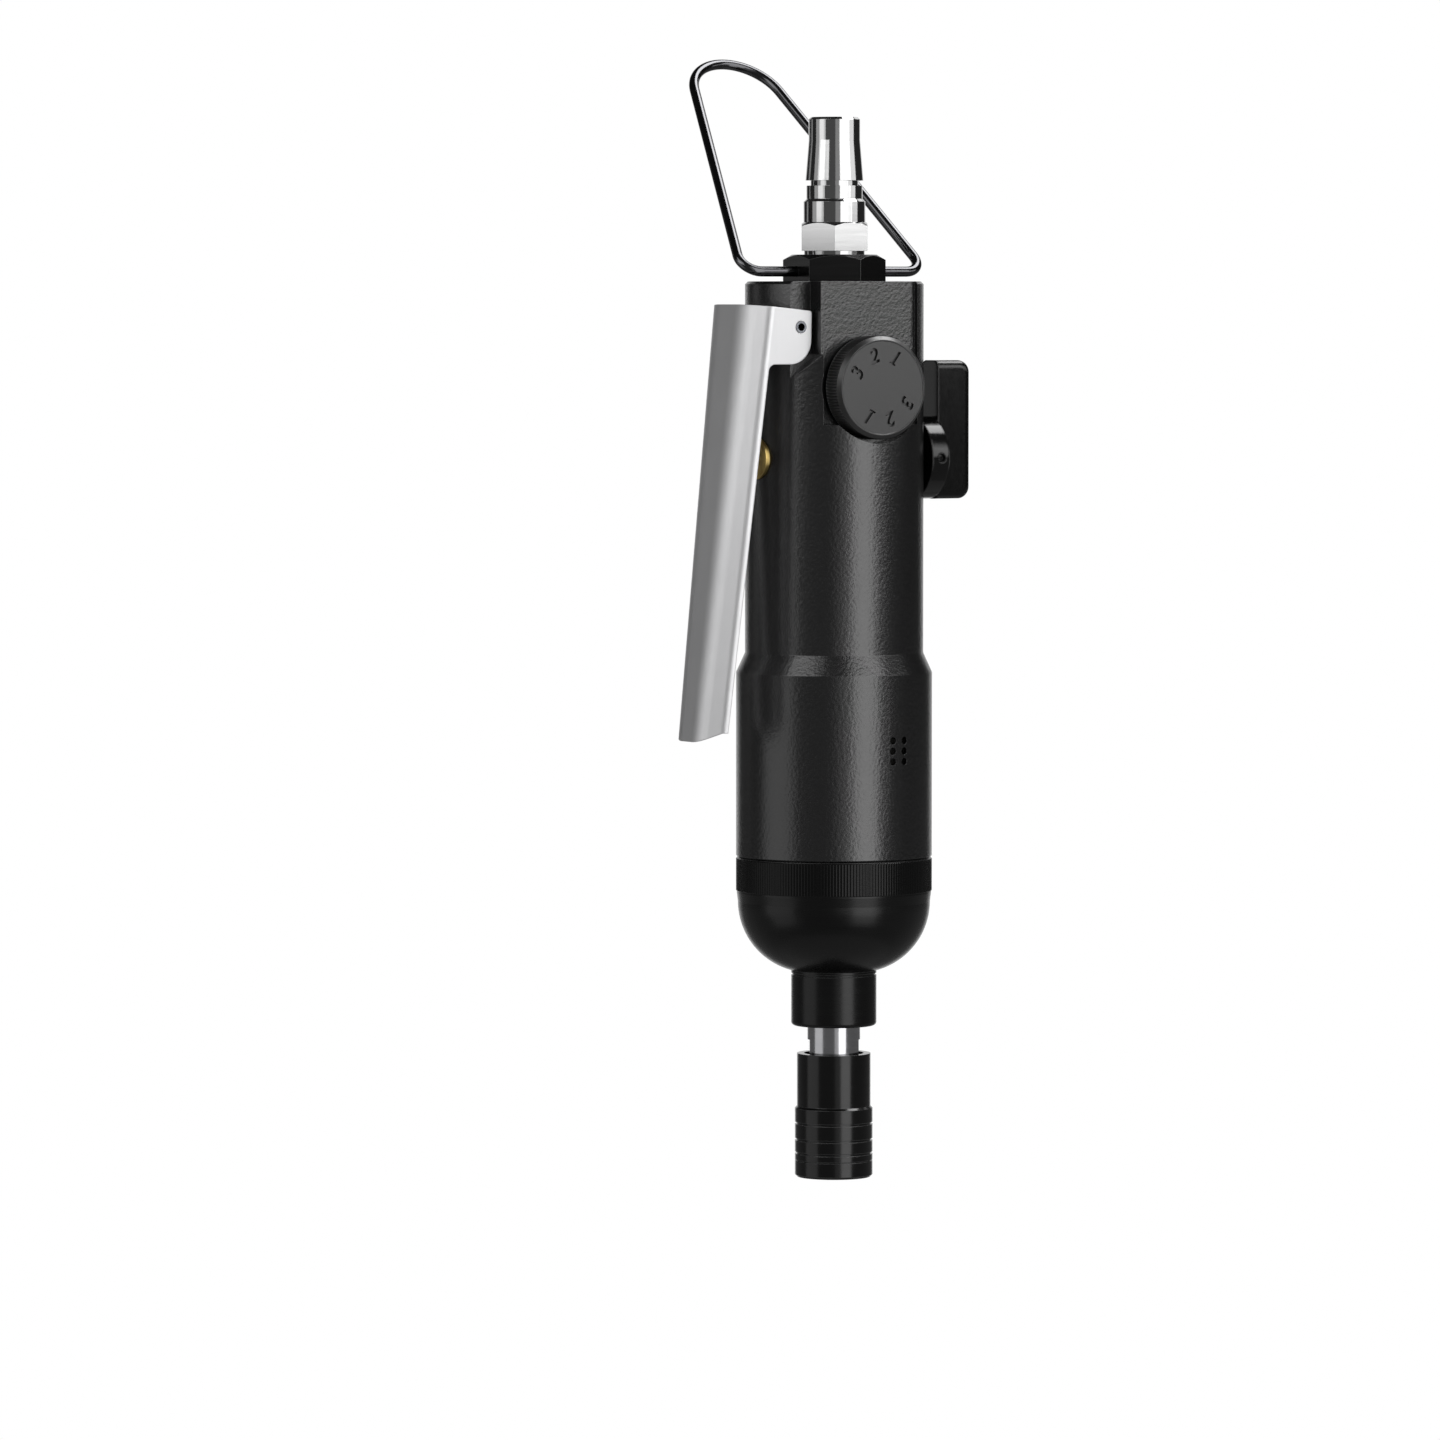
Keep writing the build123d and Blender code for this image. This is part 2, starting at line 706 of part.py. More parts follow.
# Liner: eccentric bore, two air galleries with feed slots, and exhaust slots
gallery_spots = PolarLocations(
    gallery_circle_r, 2, start_angle=-gallery_turn, angular_range=4 * gallery_turn
)
with BuildPart() as cylinder_liner:
    with BuildSketch(Plane.XY.offset(liner_z)):
        Circle(motor_r)
        with Locations((-liner_offset, 0)):
            Circle(liner_bore_r, mode=Mode.SUBTRACT)
        with Locations((locating_pin_circle_r, 0)):
            Circle(locating_pin_r + fit_gap, mode=Mode.SUBTRACT)
    extrude(amount=liner_length)
    with BuildSketch(Plane.XY.offset(gallery_foot_z)):
        with gallery_spots:
            Circle(gallery_r)
    extrude(amount=liner_top_z - gallery_foot_z, mode=Mode.SUBTRACT)
    with BuildSketch(Plane.XY.offset(gallery_foot_z)):
        with gallery_spots:
            with Locations((-gallery_r, 0)):
                Rectangle(2 * gallery_r, gallery_r)
    extrude(amount=liner_length / 2, mode=Mode.SUBTRACT)
    for slot_z in exhaust_hole_z:
        for side in (1, -1):
            with BuildSketch(Plane.XZ.offset(side * motor_r)):
                with Locations((-liner_offset, slot_z)):
                    Rectangle(exhaust_slot_width, exhaust_slot_height)
            extrude(amount=-side * (motor_r - liner_bore_r / 2), mode=Mode.SUBTRACT)
keep(cylinder_liner, "cylinder_liner")

# Rotor: hexagon drive below, slotted barrel, and a shaft in each bearing
with BuildPart() as rotor:
    with BuildSketch(Plane.XY.offset(rotor_foot_z)):
        RegularPolygon(radius=drive_af / 2, side_count=6, major_radius=False)
    extrude(amount=drive_length)
    revolve(
        half_section(
            [
                (0, drive_top_z),
                (front_shaft_r, drive_top_z),
                (front_shaft_r, rotor_z),
                (rotor_r, rotor_z),
                (rotor_r, rotor_top_z),
                (rear_shaft_r, rotor_top_z),
                (rear_shaft_r, rear_plate_top_z),
                (0, rear_plate_top_z),
            ]
        ),
        axis=Axis.Z,
    )
    with BuildSketch(Plane.XY.offset(rotor_z)):
        with PolarLocations(rotor_r, vane_count):
            Rectangle(2 * rotor_slot_depth, rotor_slot_width)
    extrude(amount=rotor_top_z - rotor_z, mode=Mode.SUBTRACT)
    with BuildSketch(Plane.XY.offset(rotor_foot_z)):
        Circle(anvil_pilot_r + run_gap)
    extrude(amount=anvil_pilot_length, mode=Mode.SUBTRACT)
keep(rotor, "rotor")

with BuildPart() as rotor_vanes:
    with BuildSketch(Plane.XY.offset(rotor_z + vane_play)):
        with PolarLocations(rotor_r - rotor_slot_depth / 2, vane_count):
            Rectangle(rotor_slot_depth - 2 * vane_play, rotor_slot_width - vane_play)
    extrude(amount=rotor_top_z - rotor_z - 2 * vane_play)
keep(rotor_vanes, "rotor_vanes")

with BuildPart() as rear_end_plate:
    revolve(
        half_section(
            [
                (rear_shaft_r + 2 * end_gap, liner_top_z),
                (motor_r, liner_top_z),
                (motor_r, rear_plate_top_z),
                (rear_bearing_r, rear_plate_top_z),
                (rear_bearing_r, rear_bearing_z),
                (rear_shaft_r + 2 * end_gap, rear_bearing_z),
            ]
        ),
        axis=Axis.Z,
    )
    with BuildSketch(Plane.XY.offset(liner_top_z)):
        with gallery_spots:
            Circle(gallery_r)
        with Locations((locating_pin_circle_r, 0)):
            Circle(locating_pin_r + fit_gap)
    extrude(amount=rear_plate_top_z - liner_top_z, mode=Mode.SUBTRACT)
keep(rear_end_plate, "rear_end_plate")

with BuildPart() as motor_gasket:
    with BuildSketch(Plane.XY.offset(rear_plate_top_z)):
        Circle(motor_r)
        Circle(rear_bearing_r, mode=Mode.SUBTRACT)
        with gallery_spots:
            Circle(gallery_r, mode=Mode.SUBTRACT)
        with Locations((locating_pin_circle_r, 0)):
            Circle(locating_pin_r + fit_gap, mode=Mode.SUBTRACT)
    extrude(amount=gasket_height)
keep(motor_gasket, "motor_gasket")

with BuildPart() as exhaust_silencer:
    revolve(
        ring(
            motor_bore_r + end_gap,
            motor_bore_r + silencer_wall,
            silencer_z + end_gap,
            silencer_z + silencer_height - end_gap,
        ),
        axis=Axis.Z,
    )
keep(exhaust_silencer, "exhaust_silencer")

# Motor housing: turned grip, motor bore, panel flats, lever pocket and valve bores
ear_pocket_slope = tan(radians(ear_pocket_angle))
pocket_out_x = 2 * lower_r
pocket_out_z = ear_pocket_z - (pocket_out_x - panel_half_width) * ear_pocket_slope
housing_out_z = housing_top_z + cut_margin
throttle_bore_length = throttle_bushing_face_x + throttle_chamber_x
with BuildPart() as motor_housing:
    revolve(
        half_section(
            [
                (0, seam_z),
                (lower_r, seam_z),
                (lower_r, lower_top_z),
                (upper_r, upper_foot_z),
                (upper_r, housing_top_z),
                (0, housing_top_z),
            ]
        ),
        axis=Axis.Z,
    )
    rims = motor_housing.edges().filter_by(GeomType.CIRCLE)
    chamfer(rims.group_by(Axis.Z)[-1], length=housing_edge)
    chamfer(rims.group_by(Axis.Z)[0], length=seam_chamfer)
    revolve(
        half_section(
            [
                (0, seam_z),
                (spigot_r + spigot_gap, seam_z),
                (spigot_r + spigot_gap, plate_seat_z),
                (motor_bore_r, plate_seat_z),
                (motor_bore_r, motor_top_z),
                (0, motor_top_z),
            ]
        ),
        axis=Axis.Z,
        mode=Mode.SUBTRACT,
    )
    revolve(
        ring(
            motor_bore_r - cut_margin,
            motor_bore_r + silencer_wall + end_gap,
            silencer_z,
            silencer_z + silencer_height,
        ),
        axis=Axis.Z,
        mode=Mode.SUBTRACT,
    )
    for turn in exhaust_hole_turns:
        exhaust_plane = Plane.XZ.rotated((0, 0, turn))
        with BuildSketch(exhaust_plane.offset(motor_bore_r)):
            with Locations(*[(0, hole_z) for hole_z in exhaust_hole_z]):
                Circle(exhaust_hole_r)
        extrude(amount=lower_r, mode=Mode.SUBTRACT)
    for side in (1, -1):
        with BuildSketch(Plane.XZ.offset(side * panel_y)):
            with Locations((0, (panel_foot_z + housing_out_z) / 2)):
                Rectangle(2 * panel_half_width, housing_out_z - panel_foot_z)
        extrude(amount=side * lower_r, mode=Mode.SUBTRACT)
        with BuildSketch(Plane.XZ.offset(side * ear_flat_y)):
            with BuildLine():
                Polyline(
                    (-panel_half_width, ear_pocket_z),
                    (-pocket_out_x, pocket_out_z),
                    (-pocket_out_x, housing_out_z),
                    (-panel_half_width, housing_out_z),
                    close=True,
                )
            make_face()
        extrude(amount=side * lower_r, mode=Mode.SUBTRACT)
    with BuildSketch(Plane.XZ.offset(-ear_flat_y - cut_margin)):
        with Locations((-lever_pivot_x, lever_pivot_z)):
            Circle(lever_pin_r + fit_gap)
    extrude(amount=2 * (ear_flat_y + cut_margin), mode=Mode.SUBTRACT)
    with BuildSketch(dial_plane.offset(panel_y)):
        Circle(dial_recess_r)
    extrude(amount=lower_r, mode=Mode.SUBTRACT)
    with BuildSketch(dial_plane.offset(regulator_end_y - end_gap)):
        Circle(regulator_r + run_gap)
    extrude(amount=panel_y - regulator_end_y + end_gap, mode=Mode.SUBTRACT)
    with BuildSketch(dial_plane.offset(regulator_shoulder_y)):
        Circle(regulator_r + clip_reach)
    extrude(amount=clip_height, mode=Mode.SUBTRACT)
    with BuildSketch(throttle_plane.offset(throttle_chamber_x)):
        Circle(throttle_bushing_r + fit_gap)
    extrude(amount=lower_r + throttle_bore_length, mode=Mode.SUBTRACT)
    with BuildSketch(reverse_plane.offset(reverse_bore_x)):
        Circle(reverse_r)
    extrude(amount=lower_r, mode=Mode.SUBTRACT)
    with BuildSketch(Plane.XY.offset(inlet_bushing_z)):
        Circle(inlet_shank_r + fit_gap)
    extrude(amount=inlet_shank_length, mode=Mode.SUBTRACT)
    with BuildSketch(Plane.XY.offset(housing_top_z - inlet_seal_height)):
        Circle(inlet_shank_r + inlet_seal_width + end_gap)
    extrude(amount=inlet_seal_height, mode=Mode.SUBTRACT)
    with BuildSketch(Plane.XY.offset(throttle_z)):
        Circle(passage_r)
    extrude(amount=inlet_bushing_z - throttle_z, mode=Mode.SUBTRACT)
    with BuildSketch(Plane.XY.offset(link_z)):
        with Locations((link_x, 0), (link_end_x, 0)):
            Circle(link_r)
    extrude(amount=throttle_z - link_z, mode=Mode.SUBTRACT)
    with BuildSketch(Plane.YZ.offset(link_x - link_r)):
        with Locations((0, link_z)):
            Circle(link_r)
    extrude(amount=link_end_x - link_x + 2 * link_r, mode=Mode.SUBTRACT)
    with BuildSketch(Plane.XY.offset(motor_top_z)):
        with gallery_spots:
            Circle(gallery_r)
    extrude(amount=reverse_z - motor_top_z, mode=Mode.SUBTRACT)
    with BuildSketch(Plane.XY.offset(motor_top_z)):
        with Locations((locating_pin_circle_r, 0)):
            Circle(locating_pin_r + fit_gap)
    extrude(amount=locating_pin_reach, mode=Mode.SUBTRACT)
keep(motor_housing, "motor_housing")

# Speed dial and the turning valve behind it
with BuildPart() as regulator_knob:
    with BuildSketch(dial_plane.offset(dial_base_y)):
        Circle(dial_r)
    extrude(amount=dial_face_y - dial_base_y)
    chamfer(regulator_knob.edges().filter_by(GeomType.CIRCLE), length=dial_edge)
    with BuildSketch(dial_plane.offset(dial_base_y)):
        Circle(regulator_neck_r + fit_gap)
    extrude(amount=dial_bore_depth, mode=Mode.SUBTRACT)
keep(regulator_knob, "regulator_knob")

regulator_ring_r = regulator_r - o_ring_wire_r
with BuildPart() as regulator_spool:
    with BuildSketch(dial_plane.offset(regulator_end_y)):
        Circle(regulator_r)
    extrude(amount=regulator_shoulder_y - regulator_end_y)
    with BuildSketch(dial_plane.offset(regulator_shoulder_y)):
        Circle(regulator_neck_r)
    extrude(amount=dial_base_y + dial_bore_depth - regulator_shoulder_y - end_gap)
    with BuildSketch(dial_plane.offset(regulator_ring_y - o_ring_wire_r - end_gap)):
        Circle(regulator_r)
        Circle(regulator_ring_r - o_ring_wire_r, mode=Mode.SUBTRACT)
    extrude(amount=2 * (o_ring_wire_r + end_gap), mode=Mode.SUBTRACT)
    with BuildSketch(Plane.XY.offset(dial_z - regulator_r)):
        Circle(passage_r)
    extrude(amount=2 * regulator_r, mode=Mode.SUBTRACT)
keep(regulator_spool, "regulator_spool")

with BuildPart() as regulator_o_ring:
    with BuildSketch(Plane(origin=(0, 0, dial_z), x_dir=(0, -1, 0), z_dir=(1, 0, 0))):
        with Locations((regulator_ring_y, regulator_ring_r)):
            RegularPolygon(radius=o_ring_wire_r, side_count=8)
    revolve(axis=Axis((0, 0, dial_z), (0, 1, 0)))
keep(regulator_o_ring, "regulator_o_ring")

with BuildPart() as regulator_clip:
    with BuildSketch(dial_plane.offset(regulator_shoulder_y + fit_gap)):
        Circle(regulator_r + clip_reach)
        Circle(regulator_neck_r + 2 * end_gap, mode=Mode.SUBTRACT)
        with Locations((0, regulator_r)):
            Rectangle(regulator_neck_r, 2 * regulator_neck_r, mode=Mode.SUBTRACT)
    extrude(amount=clip_height - 2 * fit_gap)
keep(regulator_clip, "regulator_clip")

# Throttle valve: brass guide, stem with its head, soft seat and spring
throttle_inner_r = throttle_head_r - end_gap
with BuildPart() as throttle_bushing:
    with BuildSketch(throttle_plane.offset(throttle_seat_x)):
        Circle(throttle_bushing_r)
    extrude(amount=throttle_bushing_length)
    chamfer(throttle_bushing.edges().sort_by(Axis.X)[0], length=dial_edge)
    with BuildSketch(throttle_plane.offset(throttle_seat_x)):
        Circle(throttle_inner_r)
    extrude(amount=throttle_bushing_length - throttle_guide_length, mode=Mode.SUBTRACT)
    with BuildSketch(throttle_plane.offset(throttle_seat_x)):
        Circle(throttle_stem_r + run_gap)
    extrude(amount=throttle_bushing_length, mode=Mode.SUBTRACT)
    with BuildSketch(Plane.XY.offset(throttle_z - throttle_bushing_r)):
        with Locations((link_x, 0)):
            Circle(link_r - 2 * end_gap)
    extrude(amount=2 * throttle_bushing_r, mode=Mode.SUBTRACT)
keep(throttle_bushing, "throttle_bushing")

with BuildPart() as throttle_seat:
    with BuildSketch(throttle_plane.offset(throttle_head_x)):
        Circle(throttle_bushing_r)
        Circle(throttle_seat_bore_r, mode=Mode.SUBTRACT)
    extrude(amount=throttle_seat_height)
keep(throttle_seat, "throttle_seat")

throttle_head_foot_x = throttle_head_x - throttle_head_height - run_gap
with BuildPart() as throttle_stem:
    with BuildSketch(throttle_plane.offset(throttle_head_foot_x)):
        Circle(throttle_head_r)
    extrude(amount=throttle_head_height)
    with BuildSketch(throttle_plane.offset(throttle_head_foot_x)):
        Circle(throttle_stem_r)
    extrude(amount=throttle_stem_x - throttle_head_foot_x)
    fillet(throttle_stem.edges().sort_by(Axis.X)[0], radius=throttle_stem_r / 2)
keep(throttle_stem, "throttle_stem")

throttle_spring_r = throttle_stem_r + throttle_spring_wire_r + seat_gap
throttle_spring_foot_x = throttle_chamber_x + throttle_spring_wire_r + run_gap
throttle_spring_top_x = throttle_head_foot_x - run_gap - throttle_spring_wire_r
throttle_spring_length = throttle_spring_top_x - throttle_spring_foot_x
with BuildPart() as throttle_spring:
    with BuildLine() as throttle_coil:
        Helix(
            pitch=throttle_spring_length / throttle_spring_turns,
            height=throttle_spring_length,
            radius=throttle_spring_r,
            center=(-throttle_spring_foot_x, 0, throttle_z),
            direction=(-1, 0, 0),
        )
    with BuildSketch(Plane(origin=throttle_coil.line @ 0, z_dir=throttle_coil.line % 0)):
        RegularPolygon(radius=throttle_spring_wire_r, side_count=6)
    sweep(is_frenet=True)
keep(throttle_spring, "throttle_spring")

# Throttle lever: one bent sheet, cut to its side outline
lever_ear_depth = lever_top_x - lever_flank_drop - lever_ear_x + cut_margin
lever_lip_x = lever_flank_drop + lever_lip
lever_foot_side_x = lever_foot_x - lever_flank_drop
lever_outer_x = 2 * lever_foot_x


def lever_back_x(height):
    return lever_top_x + (lever_top_z - height) * lever_slope


with BuildPart() as throttle_lever:
    loft(
        [
            lever_section(
                lever_top_z,
                lever_top_x,
                lever_top_half_width,
                lever_top_flat,
                lever_top_crown_r,
                lever_ear_depth,
            ),
            lever_section(
                lever_foot_z,
                lever_foot_x,
                lever_foot_half_width,
                lever_foot_flat,
                lever_foot_crown_r,
                lever_ear_depth,
            ),
        ],
        ruled=True,
    )
    with BuildSketch(Plane.XZ) as lever_outline:
        with BuildLine():
            Polyline(
                (-lever_ear_x, lever_ear_top_z),
                (-lever_top_x, lever_top_z),
                (-lever_outer_x, lever_top_z),
                (-lever_outer_x, lever_foot_z),
                (-lever_foot_x, lever_foot_z),
                (-lever_foot_side_x, lever_foot_z + lever_foot_slant),
                (lever_lip_x - lever_back_x(lever_foot_z), lever_foot_z + lever_foot_slant),
                (lever_lip_x - lever_back_x(lever_ear_foot_z), lever_ear_foot_z),
                (-lever_ear_x, lever_ear_foot_z),
                close=True,
            )
        make_face()
        ear_root = (lever_lip_x - lever_back_x(lever_ear_foot_z), lever_ear_foot_z)
        fillet(lever_outline.vertices().sort_by_distance(ear_root)[0], radius=lever_ear_root_r)
        ear_corners = lever_outline.vertices().group_by(Axis.X)[-1]
        fillet(ear_corners.sort_by(Axis.Y)[-1], radius=lever_ear_edge)
        ear_corners = lever_outline.vertices().group_by(Axis.X)[-1]
        fillet(ear_corners.sort_by(Axis.Y)[0], radius=lever_ear_round)
    extrude(amount=lever_outer_x, both=True, mode=Mode.INTERSECT)
    with BuildSketch(Plane.XZ.offset(-lever_outer_x)):
        with Locations((-lever_pivot_x, lever_pivot_z)):
            Circle(lever_pin_r + run_gap)
    extrude(amount=2 * lever_outer_x, mode=Mode.SUBTRACT)
keep(throttle_lever, "throttle_lever")

# Hollow roll pin of the lever
lever_pin_half_length = lever_top_half_width
with BuildPart() as lever_pin:
    with BuildSketch(Plane.XZ.offset(-lever_pin_half_length)):
        with Locations((-lever_pivot_x, lever_pivot_z)):
            Circle(lever_pin_r)
            Circle(lever_pin_bore_r, mode=Mode.SUBTRACT)
    extrude(amount=2 * lever_pin_half_length)
keep(lever_pin, "lever_pin")

# Reverse lever: disc hub with an upright blade, on its turning valve
reverse_hub_face_x = reverse_hub_x + reverse_hub_height
with BuildPart() as reverse_lever:
    with BuildSketch(Plane.XZ.offset(-reverse_blade_width / 2)) as blade_outline:
        with Locations((reverse_hub_face_x, reverse_z - reverse_hub_r)):
            Rectangle(
                reverse_blade_x - reverse_hub_face_x,
                reverse_blade_top_z - reverse_z + reverse_hub_r,
                align=Align.MIN,
            )
        fillet(blade_outline.vertices().group_by(Axis.X)[-1], radius=reverse_blade_round)
    extrude(amount=reverse_blade_width)
    blade_rims = reverse_lever.edges().filter_by_position(
        Axis.X, reverse_hub_face_x + cut_margin, reverse_blade_x
    )
    fillet(
        [edge for edge in blade_rims if abs(edge.center().Y) > reverse_blade_width / 2 - fit_gap],
        radius=reverse_blade_soft,
    )
    with BuildSketch(Plane.XZ):
        with BuildLine():
            Polyline(
                (reverse_hub_x, reverse_z),
                (reverse_hub_face_x, reverse_z),
                (reverse_hub_face_x, reverse_z + reverse_hub_r - reverse_edge),
                (reverse_hub_face_x - reverse_edge, reverse_z + reverse_hub_r),
                (reverse_hub_x, reverse_z + reverse_hub_r),
                close=True,
            )
        make_face()
    revolve(axis=Axis((0, 0, reverse_z), (1, 0, 0)))
    with BuildSketch(reverse_plane.offset(reverse_hub_x)):
        Circle(reverse_neck_r + fit_gap)
    extrude(amount=reverse_neck_length, mode=Mode.SUBTRACT)
    reverse_pin_x = reverse_hub_x + reverse_hub_height / 2
    with BuildSketch(Plane.XZ.offset(-reverse_hub_r)):
        with Locations((reverse_pin_x, reverse_z)):
            Circle(reverse_pin_r)
    extrude(amount=2 * reverse_hub_r, mode=Mode.SUBTRACT)
keep(reverse_lever, "reverse_lever")

reverse_ring_r = reverse_r - run_gap - o_ring_wire_r
with BuildPart() as reverse_spool:
    with BuildSketch(reverse_plane.offset(reverse_spool_x)):
        Circle(reverse_r - run_gap)
    extrude(amount=upper_r - reverse_spool_x)
    with BuildSketch(reverse_plane.offset(upper_r)):
        Circle(reverse_neck_r)
    extrude(amount=reverse_hub_x + reverse_neck_length - upper_r - end_gap)
    with BuildSketch(reverse_plane.offset(reverse_ring_x - o_ring_wire_r - end_gap)):
        Circle(reverse_r)
        Circle(reverse_ring_r - o_ring_wire_r, mode=Mode.SUBTRACT)
    extrude(amount=2 * (o_ring_wire_r + end_gap), mode=Mode.SUBTRACT)
    with BuildSketch(Plane.XY.offset(reverse_z - reverse_r)):
        with Locations((link_end_x, 0)):
            SlotCenterToCenter(2 * link_r, 2 * link_r)
    extrude(amount=reverse_r, mode=Mode.SUBTRACT)
    with BuildSketch(Plane.XZ.offset(-reverse_r)):
        with Locations((reverse_pin_x, reverse_z)):
            Circle(reverse_pin_r)
    extrude(amount=2 * reverse_r, mode=Mode.SUBTRACT)
keep(reverse_spool, "reverse_spool")

with BuildPart() as reverse_o_ring:
    with BuildSketch(Plane.XZ):
        with Locations((reverse_ring_x, reverse_z + reverse_ring_r)):
            RegularPolygon(radius=o_ring_wire_r, side_count=8)
    revolve(axis=Axis((0, 0, reverse_z), (1, 0, 0)))
keep(reverse_o_ring, "reverse_o_ring")

reverse_pin_half_length = reverse_hub_r - reverse_edge
with BuildPart() as reverse_pin:
    with BuildSketch(Plane.XZ.offset(-reverse_pin_half_length)):
        with Locations((reverse_pin_x, reverse_z)):
            Circle(reverse_pin_r)
    extrude(amount=2 * reverse_pin_half_length)
keep(reverse_pin, "reverse_pin")


def hex_top(low_z, high_z, across_flats, edge):
    # The turned envelope that rounds the upper corners of a hexagon
    corner_r = across_flats / sqrt(3) + edge
    return half_section(
        [
            (0, low_z),
            (corner_r, low_z),
            (corner_r, high_z - 2 * edge),
            (across_flats / 2 - edge / 2, high_z),
            (0, high_z),
        ]
    )


# Inlet bushing with its seal and strainer
inlet_pivot_r = bail_wire_r + run_gap
with BuildPart() as inlet_bushing:
    with BuildSketch(Plane.XY.offset(housing_top_z)):
        RegularPolygon(
            radius=inlet_hex_af / 2, side_count=6, major_radius=False, rotation=30
        )
    extrude(amount=inlet_hex_height)
    revolve(
        hex_top(housing_top_z, inlet_hex_top_z, inlet_hex_af, inlet_hex_edge),
        axis=Axis.Z,
        mode=Mode.INTERSECT,
    )
    with BuildSketch(Plane.XY.offset(inlet_bushing_z)):
        Circle(inlet_shank_r)
    extrude(amount=inlet_shank_length)
    with BuildSketch(Plane.XY.offset(plug_foot_z)):
        Circle(plug_thread_r + fit_gap)
    extrude(amount=inlet_thread_depth, mode=Mode.SUBTRACT)
    with BuildSketch(Plane.XY.offset(inlet_bushing_z)):
        Circle(inlet_foot_bore_r)
    extrude(amount=inlet_shank_length, mode=Mode.SUBTRACT)
    for side in (1, -1):
        with BuildSketch(Plane.YZ.offset(side * (bail_end_x - seat_gap))):
            with Locations((0, bail_hinge_z)):
                Circle(inlet_pivot_r)
        extrude(amount=side * inlet_hex_af, mode=Mode.SUBTRACT)
keep(inlet_bushing, "inlet_bushing")

with BuildPart() as inlet_seal:
    revolve(
        ring(
            inlet_shank_r + fit_gap,
            inlet_shank_r + inlet_seal_width,
            housing_top_z - inlet_seal_height,
            housing_top_z,
        ),
        axis=Axis.Z,
    )
keep(inlet_seal, "inlet_seal")

with BuildPart() as inlet_screen:
    with BuildSketch(Plane.XY.offset(inlet_bushing_z)):
        Circle(inlet_foot_bore_r - fit_gap)
        Circle(inlet_screen_hole_r, mode=Mode.SUBTRACT)
        with PolarLocations(inlet_screen_circle_r, 6):
            Circle(inlet_screen_hole_r, mode=Mode.SUBTRACT)
    extrude(amount=inlet_screen_height)
keep(inlet_screen, "inlet_screen")

# Air plug: threaded shank, hexagon, collar, locking groove and tapered tip
plug_hex_top_z = plug_hex_z + plug_hex_height
plug_groove_top_z = plug_neck_top_z + plug_groove_height
with BuildPart() as air_plug:
    with BuildSketch(Plane.XY.offset(plug_hex_z)):
        RegularPolygon(radius=plug_hex_af / 2, side_count=6, major_radius=False)
    extrude(amount=plug_hex_height)
    revolve(
        hex_top(plug_hex_z, plug_hex_top_z, plug_hex_af, plug_hex_edge),
        axis=Axis.Z,
        mode=Mode.INTERSECT,
    )
    revolve(
        half_section(
            [
                (0, plug_foot_z),
                (plug_thread_r, plug_foot_z),
                (plug_thread_r, plug_hex_z),
                (0, plug_hex_z),
            ]
        ),
        axis=Axis.Z,
    )
    revolve(
        half_section(
            [
                (0, plug_hex_top_z),
                (plug_collar_r, plug_hex_top_z),
                (plug_collar_r, plug_collar_top_z),
                (plug_neck_r, plug_collar_top_z + plug_collar_r - plug_neck_r),
                (plug_neck_r, plug_neck_top_z),
                (plug_groove_r, plug_neck_top_z),
                (plug_groove_r, plug_groove_top_z),
                (plug_cone_r, plug_groove_top_z),
                (plug_tip_r, plug_tip_z),
                (plug_tip_r, plug_top_z - plug_tip_edge),
                (plug_tip_r - plug_tip_edge, plug_top_z),
                (0, plug_top_z),
            ]
        ),
        axis=Axis.Z,
    )
    with BuildSketch(Plane.XY.offset(plug_foot_z)):
        Circle(plug_bore_r)
    extrude(amount=plug_top_z - plug_foot_z, mode=Mode.SUBTRACT)
keep(air_plug, "air_plug")

# Hanger: one bent wire whose ends turn in the bushing
bail_up = (0, sin(radians(bail_tilt)), cos(radians(bail_tilt)))
bail_plane = Plane(
    origin=(0, 0, bail_hinge_z), x_dir=(1, 0, 0), z_dir=(0, -bail_up[2], bail_up[1])
)
bail_apex = bail_half_width / tan(radians(bail_lean))
with BuildPart() as hanger_bail:
    with BuildLine(bail_plane) as bail_line:
        FilletPolyline(
            (bail_end_x, 0),
            (bail_half_width, 0),
            (0, bail_apex),
            (-bail_half_width, 0),
            (-bail_end_x, 0),
            radius=[bail_corner_r, bail_top_r, bail_corner_r],
        )
    with BuildSketch(Plane(origin=bail_line.line @ 0, z_dir=bail_line.line % 0)):
        Circle(bail_wire_r)
    sweep()
keep(hanger_bail, "hanger_bail")

for piece in pieces:
    export_step(piece, f"parts/{piece.label}.step")
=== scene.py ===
import bmesh
import bpy
import json
import math
from mathutils import Matrix, Vector

